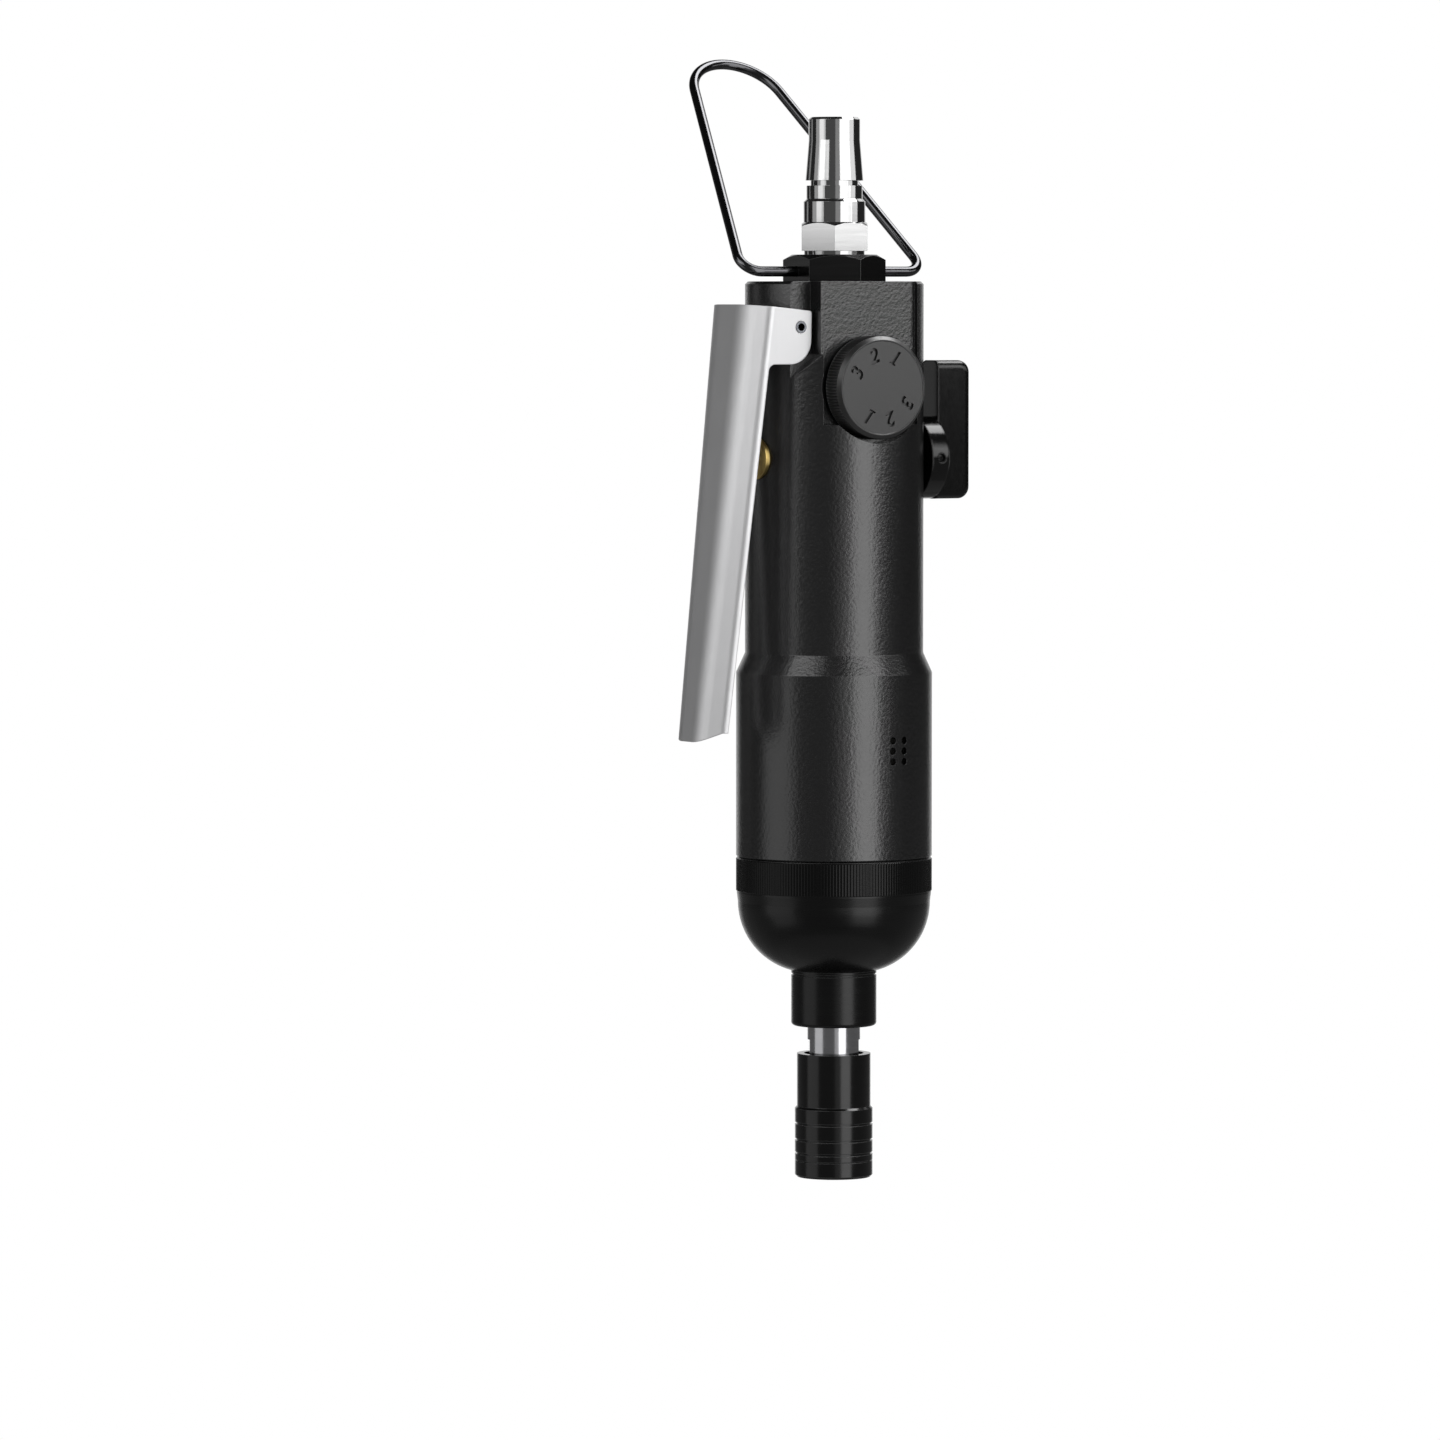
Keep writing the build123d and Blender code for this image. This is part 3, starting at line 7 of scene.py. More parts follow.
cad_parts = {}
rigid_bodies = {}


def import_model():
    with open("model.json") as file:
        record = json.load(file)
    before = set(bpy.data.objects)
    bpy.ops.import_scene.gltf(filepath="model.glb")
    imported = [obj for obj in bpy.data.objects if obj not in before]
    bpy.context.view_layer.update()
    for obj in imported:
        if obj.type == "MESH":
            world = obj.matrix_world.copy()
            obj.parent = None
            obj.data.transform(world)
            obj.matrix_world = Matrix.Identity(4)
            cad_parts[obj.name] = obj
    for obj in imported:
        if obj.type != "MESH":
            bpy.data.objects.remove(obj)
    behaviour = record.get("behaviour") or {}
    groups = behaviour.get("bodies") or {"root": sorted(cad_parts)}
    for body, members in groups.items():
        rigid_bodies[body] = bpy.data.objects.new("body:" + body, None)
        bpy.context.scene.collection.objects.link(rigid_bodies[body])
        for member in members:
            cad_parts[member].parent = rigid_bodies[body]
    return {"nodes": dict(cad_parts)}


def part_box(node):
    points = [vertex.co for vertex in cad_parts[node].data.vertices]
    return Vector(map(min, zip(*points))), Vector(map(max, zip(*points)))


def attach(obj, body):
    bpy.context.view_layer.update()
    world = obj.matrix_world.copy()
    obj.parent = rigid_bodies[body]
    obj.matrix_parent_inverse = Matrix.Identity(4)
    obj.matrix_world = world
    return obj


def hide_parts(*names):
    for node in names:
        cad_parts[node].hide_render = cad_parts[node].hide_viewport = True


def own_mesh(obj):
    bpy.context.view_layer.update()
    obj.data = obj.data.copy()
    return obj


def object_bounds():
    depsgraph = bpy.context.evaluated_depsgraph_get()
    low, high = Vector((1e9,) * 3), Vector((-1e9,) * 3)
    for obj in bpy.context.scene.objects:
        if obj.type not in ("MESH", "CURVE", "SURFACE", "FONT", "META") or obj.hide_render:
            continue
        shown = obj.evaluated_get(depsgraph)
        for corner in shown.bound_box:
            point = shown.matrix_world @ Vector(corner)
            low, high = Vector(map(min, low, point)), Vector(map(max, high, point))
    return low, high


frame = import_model()
cadBox = [list(corner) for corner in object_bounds()]
print("frame loaded:", len(frame["nodes"]), "pieces")

mm = 0.001


def hexColour(code):  # sRGB hex to the linear colour that a socket takes
    parts = [int(code[i:i + 2], 16) / 255 for i in (1, 3, 5)]
    return [c / 12.92 if c <= 0.04045 else ((c + 0.055) / 1.055) ** 2.4 for c in parts] + [1.0]


def addNode(tree, kind, inputs, **settings):  # one node, its settings, and its values or links
    node = tree.nodes.new(kind)
    for name, value in settings.items():
        setattr(node, name, value)
    for socket, value in inputs.items():
        if isinstance(value, bpy.types.NodeSocket):
            tree.links.new(value, node.inputs[socket])
        else:
            node.inputs[socket].default_value = value
    return node


def startMaterial(name):  # a material with an empty node tree
    material = bpy.data.materials.new(name)
    material.use_nodes = True
    material.node_tree.nodes.clear()
    return material, material.node_tree


def finishMaterial(material, tree, shader):
    addNode(tree, "ShaderNodeOutputMaterial", {"Surface": shader.outputs["BSDF"]})
    return material


def newObject(name, data):  # a mesh, lamp or camera placed in the scene
    made = bpy.data.objects.new(name, data)
    bpy.context.scene.collection.objects.link(made)
    return made


def smoothMesh(mesh):  # smooth faces, crisp where they meet at more than this angle
    mesh.shade_smooth()
    mesh.set_sharp_from_angle(angle=math.radians(30))


def perMetre(sizeMm):  # texture scale of a grain this wide
    return 1 / (sizeMm * mm)


# Camera: the photograph sees the tool from 30 degrees left of its dial side and almost level.
# axisPx and mouthPx are where the tool's axis and the mouth of its bit socket lie in the photograph
view = {
    "photoPx": 1440, "mmPerPx": 0.2143, "axisPx": 834, "mouthPx": 1178,
    "azimuth": -30, "elevation": 3.0, "lens": 200, "sensor": 36, "farLimit": 20,
}


def placeCamera():
    turn = math.radians(view["azimuth"])
    rise = math.radians(view["elevation"])
    centre = view["photoPx"] / 2
    side = Vector((math.cos(turn), math.sin(turn), 0))
    away = Vector((math.sin(turn) * math.cos(rise), -math.cos(turn) * math.cos(rise),
                   math.sin(rise)))
    scale = view["mmPerPx"] * mm
    aim = Vector((0, 0, (view["mouthPx"] - centre) * scale))
    aim = aim - side * (view["axisPx"] - centre) * scale
    distance = view["photoPx"] * scale * view["lens"] / view["sensor"]
    lens = bpy.data.cameras.new("photoLens")
    lens.lens = view["lens"]
    lens.sensor_width = view["sensor"]
    lens.clip_end = view["farLimit"]
    camera = newObject("photoCamera", lens)
    camera.location = aim + away * distance
    camera.rotation_euler = (aim - camera.location).to_track_quat("-Z", "Y").to_euler()
    bpy.context.scene.camera = camera
    return side, away


cameraSide, cameraAway = placeCamera()

# Soft boxes. Angle is in degrees from the camera to the right and rise in degrees above level,
# middle is the height of the point they face, and sizes and distances are in millimetres
lamps = {
    "keyBox": {"angle": 37, "rise": 0, "middle": -25, "distance": 1100,
               "wide": 620, "tall": 450, "radiance": 1.9},
    "keyFoot": {"angle": 37, "rise": 0, "middle": -420, "distance": 1100,
                "wide": 620, "tall": 340, "radiance": 0.8},
    "keySpill": {"angle": 12, "rise": 0, "middle": 300, "distance": 1200,
                 "wide": 360, "tall": 1100, "radiance": 0.3},
    "upperKey": {"angle": 45, "rise": 0, "middle": 750, "distance": 1100,
                 "wide": 940, "tall": 1100, "radiance": 2.1},
    "plugRight": {"angle": 80, "rise": 0, "middle": 275, "distance": 450,
                  "wide": 230, "tall": 140, "radiance": 1.4},
    "plugLeft": {"angle": -56, "rise": 0, "middle": 275, "distance": 450,
                 "wide": 240, "tall": 140, "radiance": 1.0},
    "leftBox": {"angle": -70, "rise": 0, "middle": 100, "distance": 1100,
                "wide": 820, "tall": 700, "radiance": 0.52},
    "leftFoot": {"angle": -66, "rise": 0, "middle": -420, "distance": 1100,
                 "wide": 700, "tall": 340, "radiance": 0.4},
    "leverBox": {"angle": -44, "rise": 30, "middle": 120, "distance": 1000,
                 "wide": 720, "tall": 560, "radiance": 1.5},
    "leverCard": {"angle": -121, "rise": 0, "middle": 280, "distance": 900,
                  "wide": 160, "tall": 400, "radiance": 0.35},
    "backCard": {"angle": 150, "rise": 32, "middle": 150, "distance": 1000,
                 "wide": 400, "tall": 300, "radiance": 1.2},
    "topBox": {"angle": 122, "rise": 60, "middle": 120, "distance": 1000,
               "wide": 560, "tall": 460, "radiance": 6.5},
}


def cameraTurned(angle, rise=0.0):  # a direction by its degrees from the camera and above level
    turn, lift = math.radians(angle), math.radians(rise)
    front = Vector((cameraAway.x, cameraAway.y, 0)).normalized()
    direction = (front * math.cos(turn) + cameraSide * math.sin(turn)) * math.cos(lift)
    direction.z = math.sin(lift)
    return direction


def placeLamps():
    for name, spec in lamps.items():
        direction = cameraTurned(spec["angle"], spec["rise"])
        lamp = bpy.data.lights.new(name, "AREA")
        lamp.shape = "RECTANGLE"
        lamp.size, lamp.size_y = spec["wide"] * mm, spec["tall"] * mm
        lamp.energy = spec["radiance"] * math.pi * lamp.size * lamp.size_y
        box = newObject(name, lamp)
        box.location = Vector((0, 0, spec["middle"] * mm)) + direction * spec["distance"] * mm
        box.rotation_euler = direction.to_track_quat("Z", "Y").to_euler()


placeLamps()

# Room: white to the eye, and an even fill on matt surfaces. Reflections see dim walls, and white
# paper behind the tool. Low is how bright the wall is underneath: it starts below lowFrom and is full
# at lowTo, which are the sines of the angle above level. Paper angles are degrees from straight behind
room = {
    "background": "#ffffff", "fill": 0.45, "front": 0.11, "sides": 0.03,
    "low": 0.15, "lowFrom": -0.07, "lowTo": -0.088,
    "paperTurn": 180, "paperFrom": 34, "paperTo": 12,
    "floorDrop": 600, "floorRadius": 600, "floorSteps": 96,
    "floorColour": "#8e8e8e", "floorRoughness": 0.9, "floorShine": 0.1,
    "floorGlow": 0.75, "floorPale": "#d8d8d8",
}


def makeRoom():
    world = bpy.data.worlds.new("studio")
    bpy.context.scene.world = world
    world.use_nodes = True
    tree = world.node_tree
    tree.nodes.clear()
    direction = addNode(tree, "ShaderNodeTexCoord", {}).outputs["Generated"]
    ahead = addNode(tree, "ShaderNodeVectorMath", {0: direction, 1: cameraTurned(0)},
                    operation="DOT_PRODUCT")
    height = addNode(tree, "ShaderNodeSeparateXYZ", {0: direction}).outputs["Z"]
    below = addNode(tree, "ShaderNodeMapRange", {
        "Value": height, "From Min": room["lowTo"], "From Max": room["lowFrom"],
        "To Min": room["low"], "To Max": room["sides"]}, interpolation_type="SMOOTHSTEP")
    wall = addNode(tree, "ShaderNodeMapRange", {
        "Value": ahead.outputs["Value"], "From Min": 0.0, "From Max": 1.0,
        "To Min": below.outputs[0], "To Max": room["front"]}, interpolation_type="SMOOTHSTEP")
    behind = addNode(tree, "ShaderNodeVectorMath", {
        0: direction, 1: cameraTurned(room["paperTurn"])}, operation="DOT_PRODUCT")
    paper = addNode(tree, "ShaderNodeMapRange", {
        "Value": behind.outputs["Value"], "From Min": math.cos(math.radians(room["paperFrom"])),
        "From Max": math.cos(math.radians(room["paperTo"])), "To Min": 0.0, "To Max": 1.0},
        interpolation_type="SMOOTHSTEP")
    around = addNode(tree, "ShaderNodeMath", {0: wall.outputs[0], 1: paper.outputs[0]},
                     operation="MAXIMUM")
    path = addNode(tree, "ShaderNodeLightPath", {})
    mirrored = addNode(tree, "ShaderNodeMath", {
        0: path.outputs["Is Glossy Ray"], 1: path.outputs["Is Transmission Ray"]},
        operation="MAXIMUM")
    reflected = addNode(tree, "ShaderNodeMath", {0: mirrored.outputs[0], 1: around.outputs[0]},
                        operation="MULTIPLY")
    seen = addNode(tree, "ShaderNodeMath", {
        0: path.outputs["Is Camera Ray"], 1: reflected.outputs[0]}, operation="MAXIMUM")
    filled = addNode(tree, "ShaderNodeMath", {0: path.outputs["Is Diffuse Ray"], 1: room["fill"]},
                     operation="MULTIPLY")
    strength = addNode(tree, "ShaderNodeMath", {0: seen.outputs[0], 1: filled.outputs[0]},
                       operation="MAXIMUM")
    light = addNode(tree, "ShaderNodeBackground", {
        "Color": hexColour(room["background"]), "Strength": strength.outputs[0]})
    addNode(tree, "ShaderNodeOutputWorld", {"Surface": light.outputs[0]})
    bpy.context.scene.view_settings.view_transform = "Standard"


def makeFloor():
    level = cadBox[0][2] - room["floorDrop"] * mm
    shape = bmesh.new()
    bmesh.ops.create_circle(shape, cap_ends=True, segments=room["floorSteps"],
                            radius=room["floorRadius"] * mm)
    bmesh.ops.translate(shape, verts=shape.verts, vec=(0, 0, level))
    mesh = bpy.data.meshes.new("floor")
    shape.to_mesh(mesh)
    shape.free()
    floor = newObject("floor", mesh)
    material, tree = startMaterial("paleFloor")
    path = addNode(tree, "ShaderNodeLightPath", {})
    glow = addNode(tree, "ShaderNodeMath", {0: path.outputs["Is Camera Ray"], 1: room["floorGlow"]},
                   operation="MULTIPLY")
    shader = addNode(tree, "ShaderNodeBsdfPrincipled", {
        "Base Color": hexColour(room["floorColour"]), "Roughness": room["floorRoughness"],
        "Specular IOR Level": room["floorShine"], "Emission Color": hexColour(room["floorPale"]),
        "Emission Strength": glow.outputs[0]})
    finishMaterial(material, tree, shader)
    mesh.materials.append(material)


makeRoom()
makeFloor()
print("camera, lamps and room placed")


def newPiece(name, shape, body, slotName, *nodes):  # a finished form that rides on a body
    mesh = bpy.data.meshes.new(name)
    bmesh.ops.recalc_face_normals(shape, faces=shape.faces)
    shape.to_mesh(mesh)
    shape.free()
    mesh.materials.append(bpy.data.materials[slotName])
    smoothMesh(mesh)
    piece = newObject(name, mesh)
    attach(piece, body)
    if nodes:
        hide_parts(*nodes)
    return piece


# A form turned round Z. Profile points are (radius, height, share of the knurl's depth)
def turned(profile, steps, close, knurl):
    shape = bmesh.new()
    rings = []
    for radius, height, share in profile:
        ring = []
        for step in range(steps):
            angle = 2 * math.pi * step / steps
            tooth = (step * knurl["teeth"] / steps) % 1.0
            depth = knurl["depth"] * share * abs(2 * tooth - 1)
            reach = (radius - depth) * mm
            spot = (reach * math.cos(angle), reach * math.sin(angle), height * mm)
            ring.append(shape.verts.new(spot))
        rings.append(ring)
    pairs = list(zip(rings, rings[1:])) + ([(rings[-1], rings[0])] if close else [])
    for lower, upper in pairs:
        for step in range(steps):
            after = (step + 1) % steps
            shape.faces.new((lower[step], lower[after], upper[after], upper[step]))
    if not close:
        shape.faces.new(rings[0])
        shape.faces.new(rings[-1])
    return shape


# Knurled band of the hammer case, rolled straight, so a glove can hold it while the tool is opened.
# The real pitch of about 0.4 mm is too fine to show, so the teeth are drawn 0.66 mm apart. Foot and
# top are heights, root and crest are radii, and edge is the chamfer, all in millimetres
bandSpec = {
    "foot": 61.55, "top": 68.7, "root": 20.7, "crest": 21.0, "edge": 0.2,
    "teeth": 200, "depth": 0.08, "stepsPerTooth": 4,
}


def makeBand():
    sizes = ("foot", "top", "root", "crest", "edge")
    foot, top, root, crest, edge = (bandSpec[size] for size in sizes)
    profile = [
        (root, foot, 0), (crest - edge, foot, 0), (crest, foot + edge, 1), (crest, top - edge, 1),
        (crest - edge, top, 0), (root, top, 0),
    ]
    shape = turned(profile, bandSpec["teeth"] * bandSpec["stepsPerTooth"], True, bandSpec)
    return newPiece("knurledBand", shape, "body", "black_case")


band = makeBand()
print("knurled band")

# Dial: moulded knob with a knurled rim, and plain numbers pressed into its face. The real pitch of
# the rim, about 0.45 mm, is too fine to show, so its teeth are drawn 0.66 mm apart. Insets are
# measured in from the rim and sizes are in millimetres. innerShare and numberRing are shares of the
# radius, capShare is a number's share of its font size, serifDepth is the serif's share of
# numberDepth, and each number stands with its turn in degrees
dialSpec = {
    "teeth": 104, "depth": 0.3, "stepsPerTooth": 4,
    "rimBack": 0.5, "rimFront": 1.0, "rimRise": 0.15, "chamfer": 0.75, "innerShare": 0.5,
    "backInset": 0.35, "backStep": 0.1, "backEdge": 0.25,
    "frontStep": 0.12, "lipInset": 0.3, "faceInset": 0.42, "faceDrop": 0.12,
    "numberHeight": 3.1, "capShare": 0.7, "numberDepth": 0.7, "numberRing": 0.62,
    "slant": 0.18, "stroke": 0.09, "curveSteps": 3, "weld": 0.001,
    "serifWide": 1.5, "serifTall": 0.34, "serifDepth": 1.9, "serifReach": 0.01,
    "numbers": [("1", 26), ("2", -18), ("3", -64), ("1", 206), ("2", 162), ("3", 117)],
}


def addSerif(mesh):  # a bar under the stem of a 1
    letter = bmesh.new()
    letter.from_mesh(mesh)
    low = min(vert.co.y for vert in letter.verts)
    lowest = [vert.co.x for vert in letter.verts if vert.co.y < low + dialSpec["serifReach"] * mm]
    middle = sum(lowest) / len(lowest)
    wide, tall = dialSpec["serifWide"], dialSpec["serifTall"]
    shift = Matrix.Translation((middle, low + tall / 2 * mm, 0))
    deep = dialSpec["serifDepth"] * dialSpec["numberDepth"] * mm
    size = Matrix.Diagonal((wide * mm, tall * mm, deep, 1))
    bmesh.ops.create_cube(letter, size=1.0, matrix=shift @ size)
    letter.to_mesh(mesh)
    letter.free()


def numberCutter(spot, radius):  # the numbers as one mesh round this spot, tops outward
    cutter = bmesh.new()
    for text, turn in dialSpec["numbers"]:
        font = bpy.data.curves.new("dialNumber", "FONT")
        font.body = text
        font.size = dialSpec["numberHeight"] / dialSpec["capShare"] * mm
        font.shear = dialSpec["slant"]
        font.align_x, font.align_y = "CENTER", "CENTER"
        font.extrude = dialSpec["numberDepth"] * mm
        font.offset = dialSpec["stroke"] * mm
        font.resolution_u = dialSpec["curveSteps"]
        letter = bpy.data.objects.new("dialNumber", font)
        mesh = bpy.data.meshes.new_from_object(letter)
        if text == "1":
            addSerif(mesh)
        spin = Matrix.Rotation(math.radians(-turn), 4, "Z")
        shift = Matrix.Translation((0, dialSpec["numberRing"] * radius * mm, 0))
        stand = Matrix.Rotation(math.radians(90), 4, "X")
        mesh.transform(Matrix.Translation(spot) @ stand @ spin @ shift)
        cutter.from_mesh(mesh)
        bpy.data.objects.remove(letter)
        bpy.data.curves.remove(font)
        bpy.data.meshes.remove(mesh)
    bmesh.ops.remove_doubles(cutter, verts=cutter.verts, dist=dialSpec["weld"] * mm)
    bmesh.ops.recalc_face_normals(cutter, faces=cutter.faces)
    return cutter


def dialProfile(radius, thick, face):
    rimBack, rim, edge = dialSpec["rimBack"], dialSpec["rimFront"], dialSpec["chamfer"]
    inner, backStep, frontStep = dialSpec["innerShare"], dialSpec["backStep"], dialSpec["frontStep"]
    return [
        (radius * inner, 0, 0), (radius - dialSpec["backInset"], 0, 0),
        (radius - backStep, dialSpec["backEdge"], 0), (radius - backStep, rimBack, 0),
        (radius, rimBack + dialSpec["rimRise"], 1), (radius, thick - rim, 1),
        (radius - frontStep, thick - rim + frontStep, 0), (radius - frontStep, thick - edge, 0),
        (radius - frontStep - edge, thick, 0), (radius - edge - dialSpec["lipInset"], thick, 0),
        (radius - edge - dialSpec["faceInset"], face, 0), (radius * inner, face, 0),
    ]


def makeDial():
    low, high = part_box("regulator_knob")
    radius = (high[0] - low[0]) / 2 / mm
    thick = (high[1] - low[1]) / mm
    centreX, centreZ = (low[0] + high[0]) / 2, (low[2] + high[2]) / 2
    face = thick - dialSpec["faceDrop"]
    profile = dialProfile(radius, thick, face)
    shape = turned(profile, dialSpec["teeth"] * dialSpec["stepsPerTooth"], False, dialSpec)
    stand = Matrix.Rotation(math.radians(90), 4, "X")
    stand = Matrix.Translation((centreX, high[1], centreZ)) @ stand
    bmesh.ops.transform(shape, matrix=stand, verts=shape.verts)
    dial = newPiece("dialKnob", shape, "dial", "black_dial", "regulator_knob")
    cutter = numberCutter((centreX, high[1] - face * mm, centreZ), radius)
    mesh = bpy.data.meshes.new("dialNumbers")
    cutter.to_mesh(mesh)
    cutter.free()
    tool = newObject("dialNumbers", mesh)
    cut = dial.modifiers.new("numbers", "BOOLEAN")
    cut.operation, cut.solver, cut.object, cut.use_self = "DIFFERENCE", "EXACT", tool, True
    shown = dial.evaluated_get(bpy.context.evaluated_depsgraph_get())
    ready = bpy.data.meshes.new_from_object(shown)
    dial.modifiers.clear()
    dial.data = ready
    smoothMesh(ready)
    bpy.data.objects.remove(tool)
    bpy.data.meshes.remove(mesh)
    return dial


dial = makeDial()
print("dial with its numbers,", len(dial.data.polygons), "faces")

# Springs: round wire, wound closer at both ends.
# Wire is its diameter and fixedEnd the place of the fixed end along its axis, in millimetres.
# Closing is how much closer the end turns lie, and shortest is the share of its length left at the
# joint's limit
coilSteps = {"perTurn": 40, "aroundWire": 14}
springSpecs = {
    "sleeveCoil": {
        "node": "sleeve_spring", "body": "spindle", "joint": "sleeve_slide", "along": (0, 0, 1),
        "wire": 0.9, "turns": 5.5, "closing": 0.5, "fixedEnd": 23.3, "shortest": 0.61},
    "throttleCoil": {
        "node": "throttle_spring", "body": "body", "joint": "throttle_slide", "along": (1, 0, 0),
        "wire": 0.6, "turns": 5.0, "closing": 0.5, "fixedEnd": 2.5, "shortest": 0.665},
}


def makeSpring(name, spec):
    low, high = (Vector(corner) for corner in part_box(spec["node"]))
    along = Vector(spec["along"])
    across, upward = Vector(along.yzx), Vector(along.zxy)
    wire = spec["wire"] / 2 * mm
    foot = (low + high) / 2 - along * ((high - low).dot(along) / 2 - wire)
    length = (high - low).dot(along) - 2 * wire
    reach = (high - low).dot(across) / 2 - wire
    shape = bmesh.new()
    rings = []
    total = int(spec["turns"] * coilSteps["perTurn"])
    for step in range(total + 1):
        share, turn = step / total, 2 * math.pi * step / coilSteps["perTurn"]
        rise = share - spec["closing"] * math.sin(2 * math.pi * share) / (2 * math.pi)
        outward = across * math.cos(turn) + upward * math.sin(turn)
        centre = foot + outward * reach + along * length * rise
        ring = []
        for side in range(coilSteps["aroundWire"]):
            angle = 2 * math.pi * side / coilSteps["aroundWire"]
            skin = (outward * math.cos(angle) + along * math.sin(angle)) * wire
            ring.append(shape.verts.new(centre + skin))
        if rings:
            for side in range(coilSteps["aroundWire"]):
                after = (side + 1) % coilSteps["aroundWire"]
                shape.faces.new((rings[-1][side], rings[-1][after], ring[after], ring[side]))
        rings.append(ring)
    shape.faces.new(rings[0])
    shape.faces.new(rings[-1])
    coil = newPiece(name, shape, spec["body"], "spring_steel", spec["node"])
    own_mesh(coil)


for springName, springSpec in springSpecs.items():
    makeSpring(springName, springSpec)
print("springs wound:", len(springSpecs))
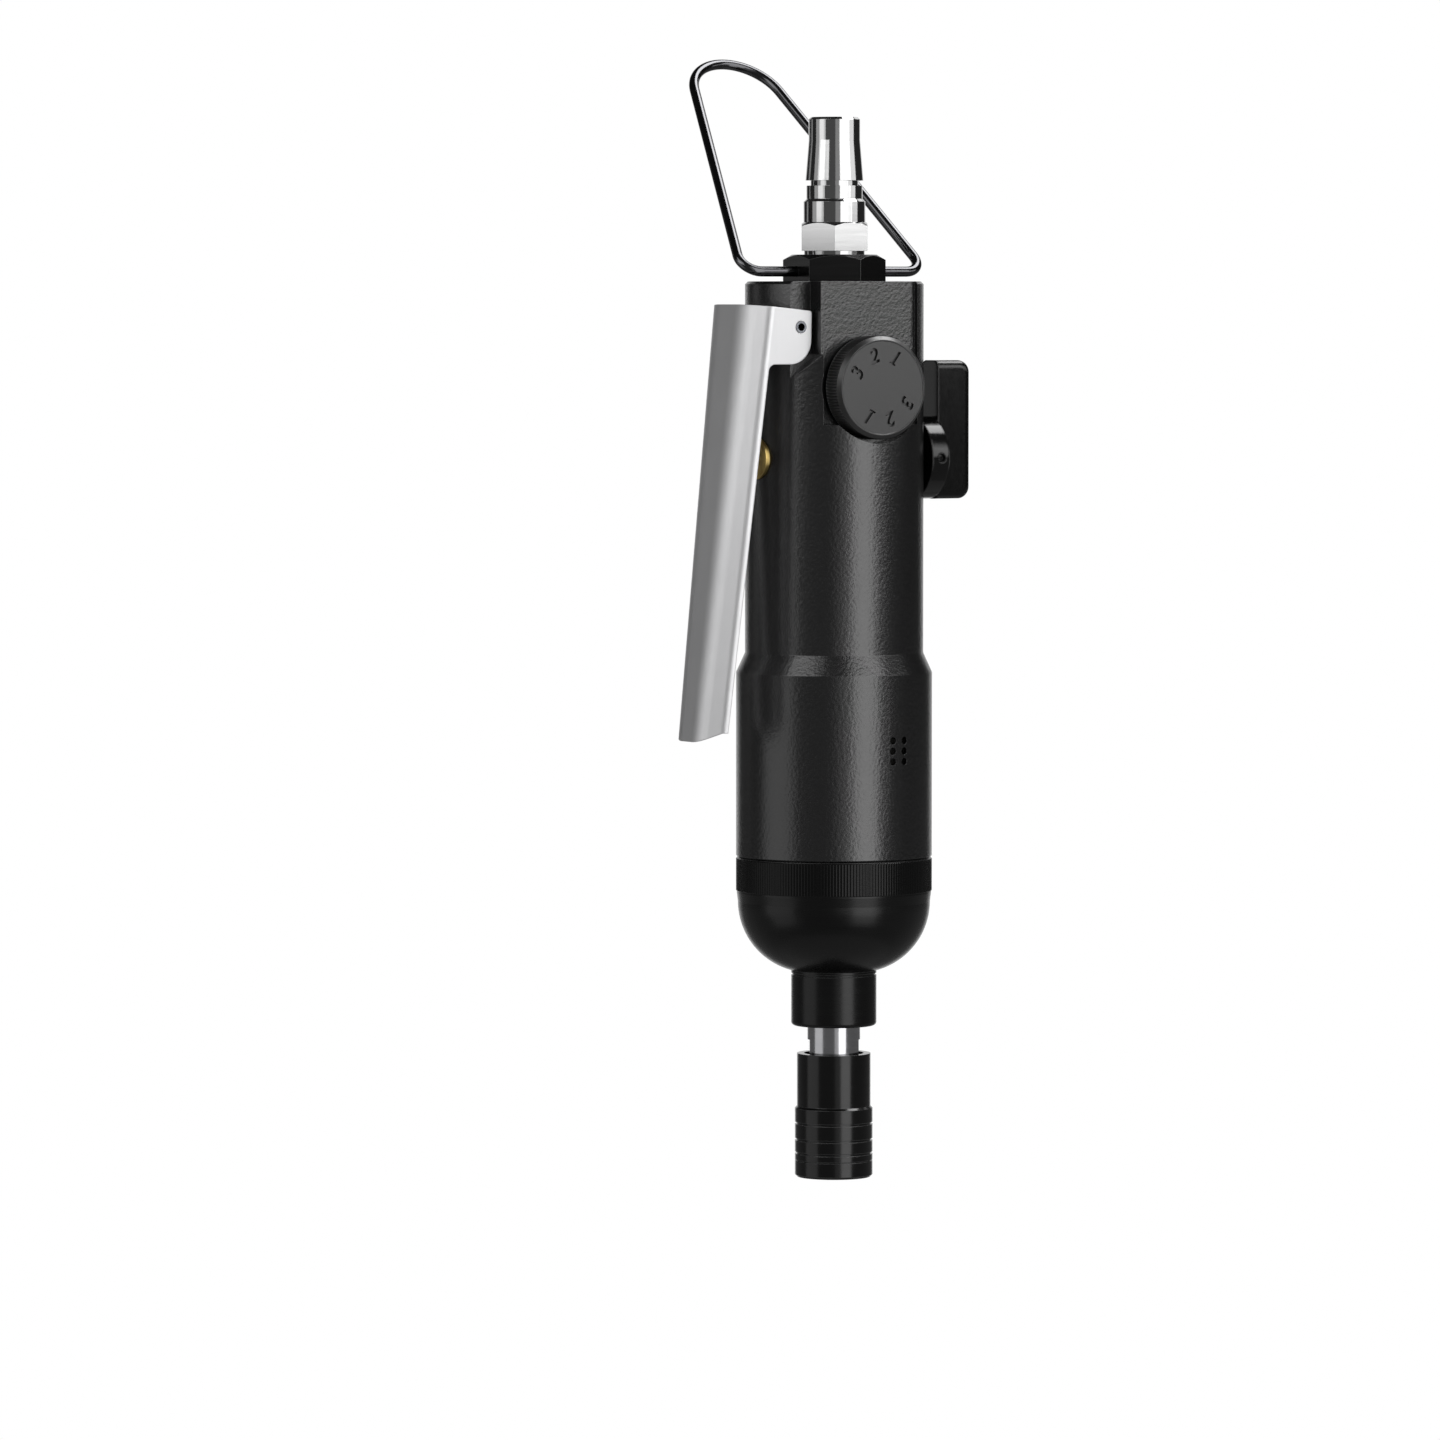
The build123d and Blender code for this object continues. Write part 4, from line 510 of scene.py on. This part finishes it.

# Finishes: each is named for the real material and how its surface was made. Grain is the width of
# its marks, stretch draws them out along x, y and z, and depth is how deep they go, in millimetres.
# Spread is how much the marks vary the roughness. Edge is the radius, in millimetres, at which sharp
# corners are lightened, and wearAndGlint is their colour there: partly edge wear, partly a painted
# highlight where the corners catch the light
finishSpecs = {
    # wrinkle enamel on cast aluminium: leathery, with a broad speckled highlight. Its wrinkles are
    # about 0.3 mm wide, too fine to show, so they are drawn 0.65 mm wide
    "black_paint": {
        "name": "wrinkleEnamel", "colour": "#070707", "second": "#0b0b0c", "metallic": 0.0,
        "ior": 1.85, "roughness": 0.25, "spread": 0.04, "grain": 0.65, "stretch": (1, 1, 1),
        "depth": 0.065, "edge": 0.12, "wearAndGlint": "#141415"},
    # black oxide over fine turning: crisp dark sheen, faint rings round the axis. The feed marks are
    # about 0.1 mm apart, too fine to show, so they are drawn 0.5 mm apart
    "black_case": {
        "name": "blackTurnedSteel", "colour": "#050505", "second": "#080808", "metallic": 0.0,
        "ior": 1.44, "roughness": 0.26, "spread": 0.05, "grain": 0.5, "stretch": (0.04, 0.04, 1),
        "depth": 0.002, "edge": 0.2, "wearAndGlint": "#3a3a3a"},
    # the knurled band in that bath: the grooves hold oil and dust, so it stays darker and duller
    "black_knurl": {
        "name": "oxidisedKnurl", "colour": "#050505", "second": "#080808", "metallic": 0.0,
        "ior": 1.32, "roughness": 0.26, "spread": 0.05, "grain": 0.5, "stretch": (1, 1, 1),
        "depth": 0.002, "edge": 0.04, "wearAndGlint": "#141414"},
    # the same bath on a ground sleeve: a little glossier
    "black_oxide": {
        "name": "blackOxideSleeve", "colour": "#050505", "second": "#080808", "metallic": 0.0,
        "ior": 1.5, "roughness": 0.19, "spread": 0.05, "grain": 0.5, "stretch": (0.04, 0.04, 1),
        "depth": 0.002, "edge": 0.15, "wearAndGlint": "#4a4a4a"},
    # moulded acetal, polished tool: smooth and slightly waxy
    "black_lever": {
        "name": "mouldedAcetal", "colour": "#060606", "second": "#090909", "metallic": 0.0,
        "ior": 1.5, "roughness": 0.13, "spread": 0.03, "grain": 0.9, "stretch": (1, 1, 1),
        "depth": 0.002, "edge": 0.7, "wearAndGlint": "#0c0c0c"},
    # moulded glass-filled nylon: matt grey-black face that spreads the light
    "black_dial": {
        "name": "glassFilledNylon", "colour": "#0c0c0c", "second": "#121212", "metallic": 0.0,
        "ior": 1.8, "roughness": 0.34, "spread": 0.06, "grain": 0.7, "stretch": (1, 1, 1),
        "depth": 0.008, "edge": 0.1, "wearAndGlint": "#2a2a2a"},
    # ground bearing steel: clean mirror with hair-fine rings, drawn 0.4 mm apart so that they show
    "bright_steel": {
        "name": "groundSteel", "colour": "#d6d6d8", "second": "#c8c8cb", "metallic": 1.0,
        "ior": 1.5, "roughness": 0.17, "spread": 0.06, "grain": 0.4, "stretch": (0.04, 0.04, 1),
        "depth": 0.002, "edge": 0.12, "wearAndGlint": "#e2e2e2"},
    # drawn spring wire: slightly blue, drawn streaks
    "spring_steel": {
        "name": "drawnSpringWire", "colour": "#8f9196", "second": "#777a80", "metallic": 1.0,
        "ior": 1.5, "roughness": 0.26, "spread": 0.1, "grain": 0.3, "stretch": (1, 1, 0.2),
        "depth": 0.002, "edge": 0.08, "wearAndGlint": "#b5b6ba"},
    # hardened tool steel with heat tint: brownish grey, dull
    "tool_steel": {
        "name": "hardenedToolSteel", "colour": "#6f6f70", "second": "#5c5750", "metallic": 1.0,
        "ior": 1.5, "roughness": 0.34, "spread": 0.12, "grain": 2.5, "stretch": (1, 1, 1),
        "depth": 0.002, "edge": 0.15, "wearAndGlint": "#9a9a9a"},
    # tumbled sheet steel: satin, light streaks along the rolling direction, drawn 0.35 mm wide so that
    # they show, where the real ones are hair-fine
    "satin_steel": {
        "name": "satinSheetSteel", "colour": "#eeeeef", "second": "#e4e4e5", "metallic": 1.0,
        "ior": 1.5, "roughness": 0.5, "spread": 0.05, "grain": 0.35, "stretch": (1, 1, 0.03),
        "depth": 0.001, "edge": 0.25, "wearAndGlint": "#f2f2f2"},
    # bright nickel over turned brass: mirror bands in neutral grey
    "nickel_plate": {
        "name": "brightNickel", "colour": "#bdbdbd", "second": "#b4b4b4", "metallic": 1.0,
        "ior": 1.5, "roughness": 0.09, "spread": 0.03, "grain": 0.6, "stretch": (0.05, 0.05, 1),
        "depth": 0.0005, "edge": 0.05, "wearAndGlint": "#e6e6e6"},
    # black nickel on bent wire: dark mirror, narrow hot lines
    "nickel_wire": {
        "name": "blackNickelWire", "colour": "#626264", "second": "#535355", "metallic": 1.0,
        "ior": 1.5, "roughness": 0.14, "spread": 0.06, "grain": 0.8, "stretch": (1, 1, 1),
        "depth": 0.003, "edge": 0.05, "wearAndGlint": "#5a5a5c"},
    # free-cutting brass, turned: warm and bright
    "brass": {
        "name": "turnedBrass", "colour": "#ecd08a", "second": "#dcbb6c", "metallic": 1.0,
        "ior": 1.5, "roughness": 0.3, "spread": 0.06, "grain": 0.4, "stretch": (1, 0.05, 0.05),
        "depth": 0.003, "edge": 0.15, "wearAndGlint": "#f2d486"},
    # sintered bronze: soft brown metal with open pores
    "bronze": {
        "name": "sinteredBronze", "colour": "#a9713c", "second": "#7d5230", "metallic": 1.0,
        "ior": 1.5, "roughness": 0.4, "spread": 0.15, "grain": 0.35, "stretch": (1, 1, 1),
        "depth": 0.01, "edge": 0.1, "wearAndGlint": "#c99258"},
    # moulded nitrile rubber: dull black
    "rubber": {
        "name": "nitrileRubber", "colour": "#0b0b0b", "second": "#141414", "metallic": 0.0,
        "ior": 1.5, "roughness": 0.6, "spread": 0.15, "grain": 0.8, "stretch": (1, 1, 1),
        "depth": 0.006, "edge": 0.05, "wearAndGlint": "#1a1a1a"},
    # cotton-filled phenolic: brown, woven look
    "vane_resin": {
        "name": "phenolicCloth", "colour": "#5a3d22", "second": "#6d4c2d", "metallic": 0.0,
        "ior": 1.55, "roughness": 0.5, "spread": 0.15, "grain": 0.5, "stretch": (1, 1, 0.4),
        "depth": 0.01, "edge": 0.05, "wearAndGlint": "#7a5a38"},
    # pressed fibre sheet: matt grey-green
    "gasket_sheet": {
        "name": "pressedFibre", "colour": "#50604a", "second": "#435240", "metallic": 0.0,
        "ior": 1.45, "roughness": 0.8, "spread": 0.1, "grain": 0.4, "stretch": (1, 1, 1),
        "depth": 0.02, "edge": 0.05, "wearAndGlint": "#5c6b56"},
    # wool felt: pale grey, fluffy
    "felt": {
        "name": "woolFelt", "colour": "#8a8a86", "second": "#74746f", "metallic": 0.0,
        "ior": 1.45, "roughness": 0.95, "spread": 0.04, "grain": 0.5, "stretch": (1, 1, 0.5),
        "depth": 0.12, "edge": 0.05, "wearAndGlint": "#93938f"},
}


# What all finishes share. Patch is the width, in millimetres, over which the two colours change.
# The corner values are how well the rounded and the true surface line up, from flat to full corner,
# and the grain values are the noise heights that count as its lowest and highest
surface = {
    "grainDetail": 2.5, "grainRoughness": 0.55, "grainLow": 0.3, "grainHigh": 0.7,
    "patch": 12, "patchDetail": 2.0, "cornerSamples": 6, "cornerFlat": 0.995, "cornerFull": 0.9,
}


def makeFinish(spec):
    material, tree = startMaterial(spec["name"])
    place = addNode(tree, "ShaderNodeTexCoord", {}).outputs["Object"]
    drawn = addNode(tree, "ShaderNodeMapping", {"Vector": place, "Scale": spec["stretch"]})
    grain = addNode(tree, "ShaderNodeTexNoise", {
        "Vector": drawn.outputs[0], "Scale": perMetre(spec["grain"]),
        "Detail": surface["grainDetail"], "Roughness": surface["grainRoughness"]})
    patch = addNode(tree, "ShaderNodeTexNoise", {
        "Vector": place, "Scale": perMetre(surface["patch"]), "Detail": surface["patchDetail"]})
    rounded = addNode(tree, "ShaderNodeBevel", {"Radius": spec["edge"] * mm},
                      samples=surface["cornerSamples"])
    flat = addNode(tree, "ShaderNodeNewGeometry", {})
    aligned = addNode(tree, "ShaderNodeVectorMath", {
        0: rounded.outputs[0], 1: flat.outputs["Normal"]}, operation="DOT_PRODUCT")
    corner = addNode(tree, "ShaderNodeMapRange", {
        "Value": aligned.outputs["Value"], "From Min": surface["cornerFlat"],
        "From Max": surface["cornerFull"], "To Min": 0.0, "To Max": 1.0})
    colour = addNode(tree, "ShaderNodeMix", {
        0: patch.outputs["Fac"], 6: hexColour(spec["colour"]), 7: hexColour(spec["second"])},
        data_type="RGBA")
    # lighter at sharp corners: partly edge wear, partly a painted highlight where corners catch the
    # light
    paintedGlintAndWear = addNode(tree, "ShaderNodeMix", {
        0: corner.outputs[0], 6: colour.outputs[2], 7: hexColour(spec["wearAndGlint"])}, data_type="RGBA")
    dulled = addNode(tree, "ShaderNodeMapRange", {
        "Value": grain.outputs["Fac"],
        "From Min": surface["grainLow"], "From Max": surface["grainHigh"],
        "To Min": spec["roughness"] - spec["spread"] / 2,
        "To Max": spec["roughness"] + spec["spread"] / 2})
    relief = addNode(tree, "ShaderNodeBump", {
        "Height": grain.outputs["Fac"], "Strength": 1.0, "Distance": spec["depth"] * mm,
        "Normal": rounded.outputs[0]})
    shader = addNode(tree, "ShaderNodeBsdfPrincipled", {
        "Base Color": paintedGlintAndWear.outputs[2], "Metallic": spec["metallic"],
        "Roughness": dulled.outputs[0], "IOR": spec["ior"], "Normal": relief.outputs[0]})
    return finishMaterial(material, tree, shader)


finishes = {slotName: makeFinish(spec) for slotName, spec in finishSpecs.items()}
for piece in bpy.data.objects:
    for held in piece.material_slots:
        if held.material and held.material.name in finishes:
            held.material = finishes[held.material.name]
# The reverse pin looks as black as its lever, so it takes that finish, and the knurl has its own
frame["nodes"]["reverse_pin"].material_slots[0].material = finishes["black_lever"]
band.material_slots[0].material = finishes["black_knurl"]
print("finishes on all pieces:", len(finishes))
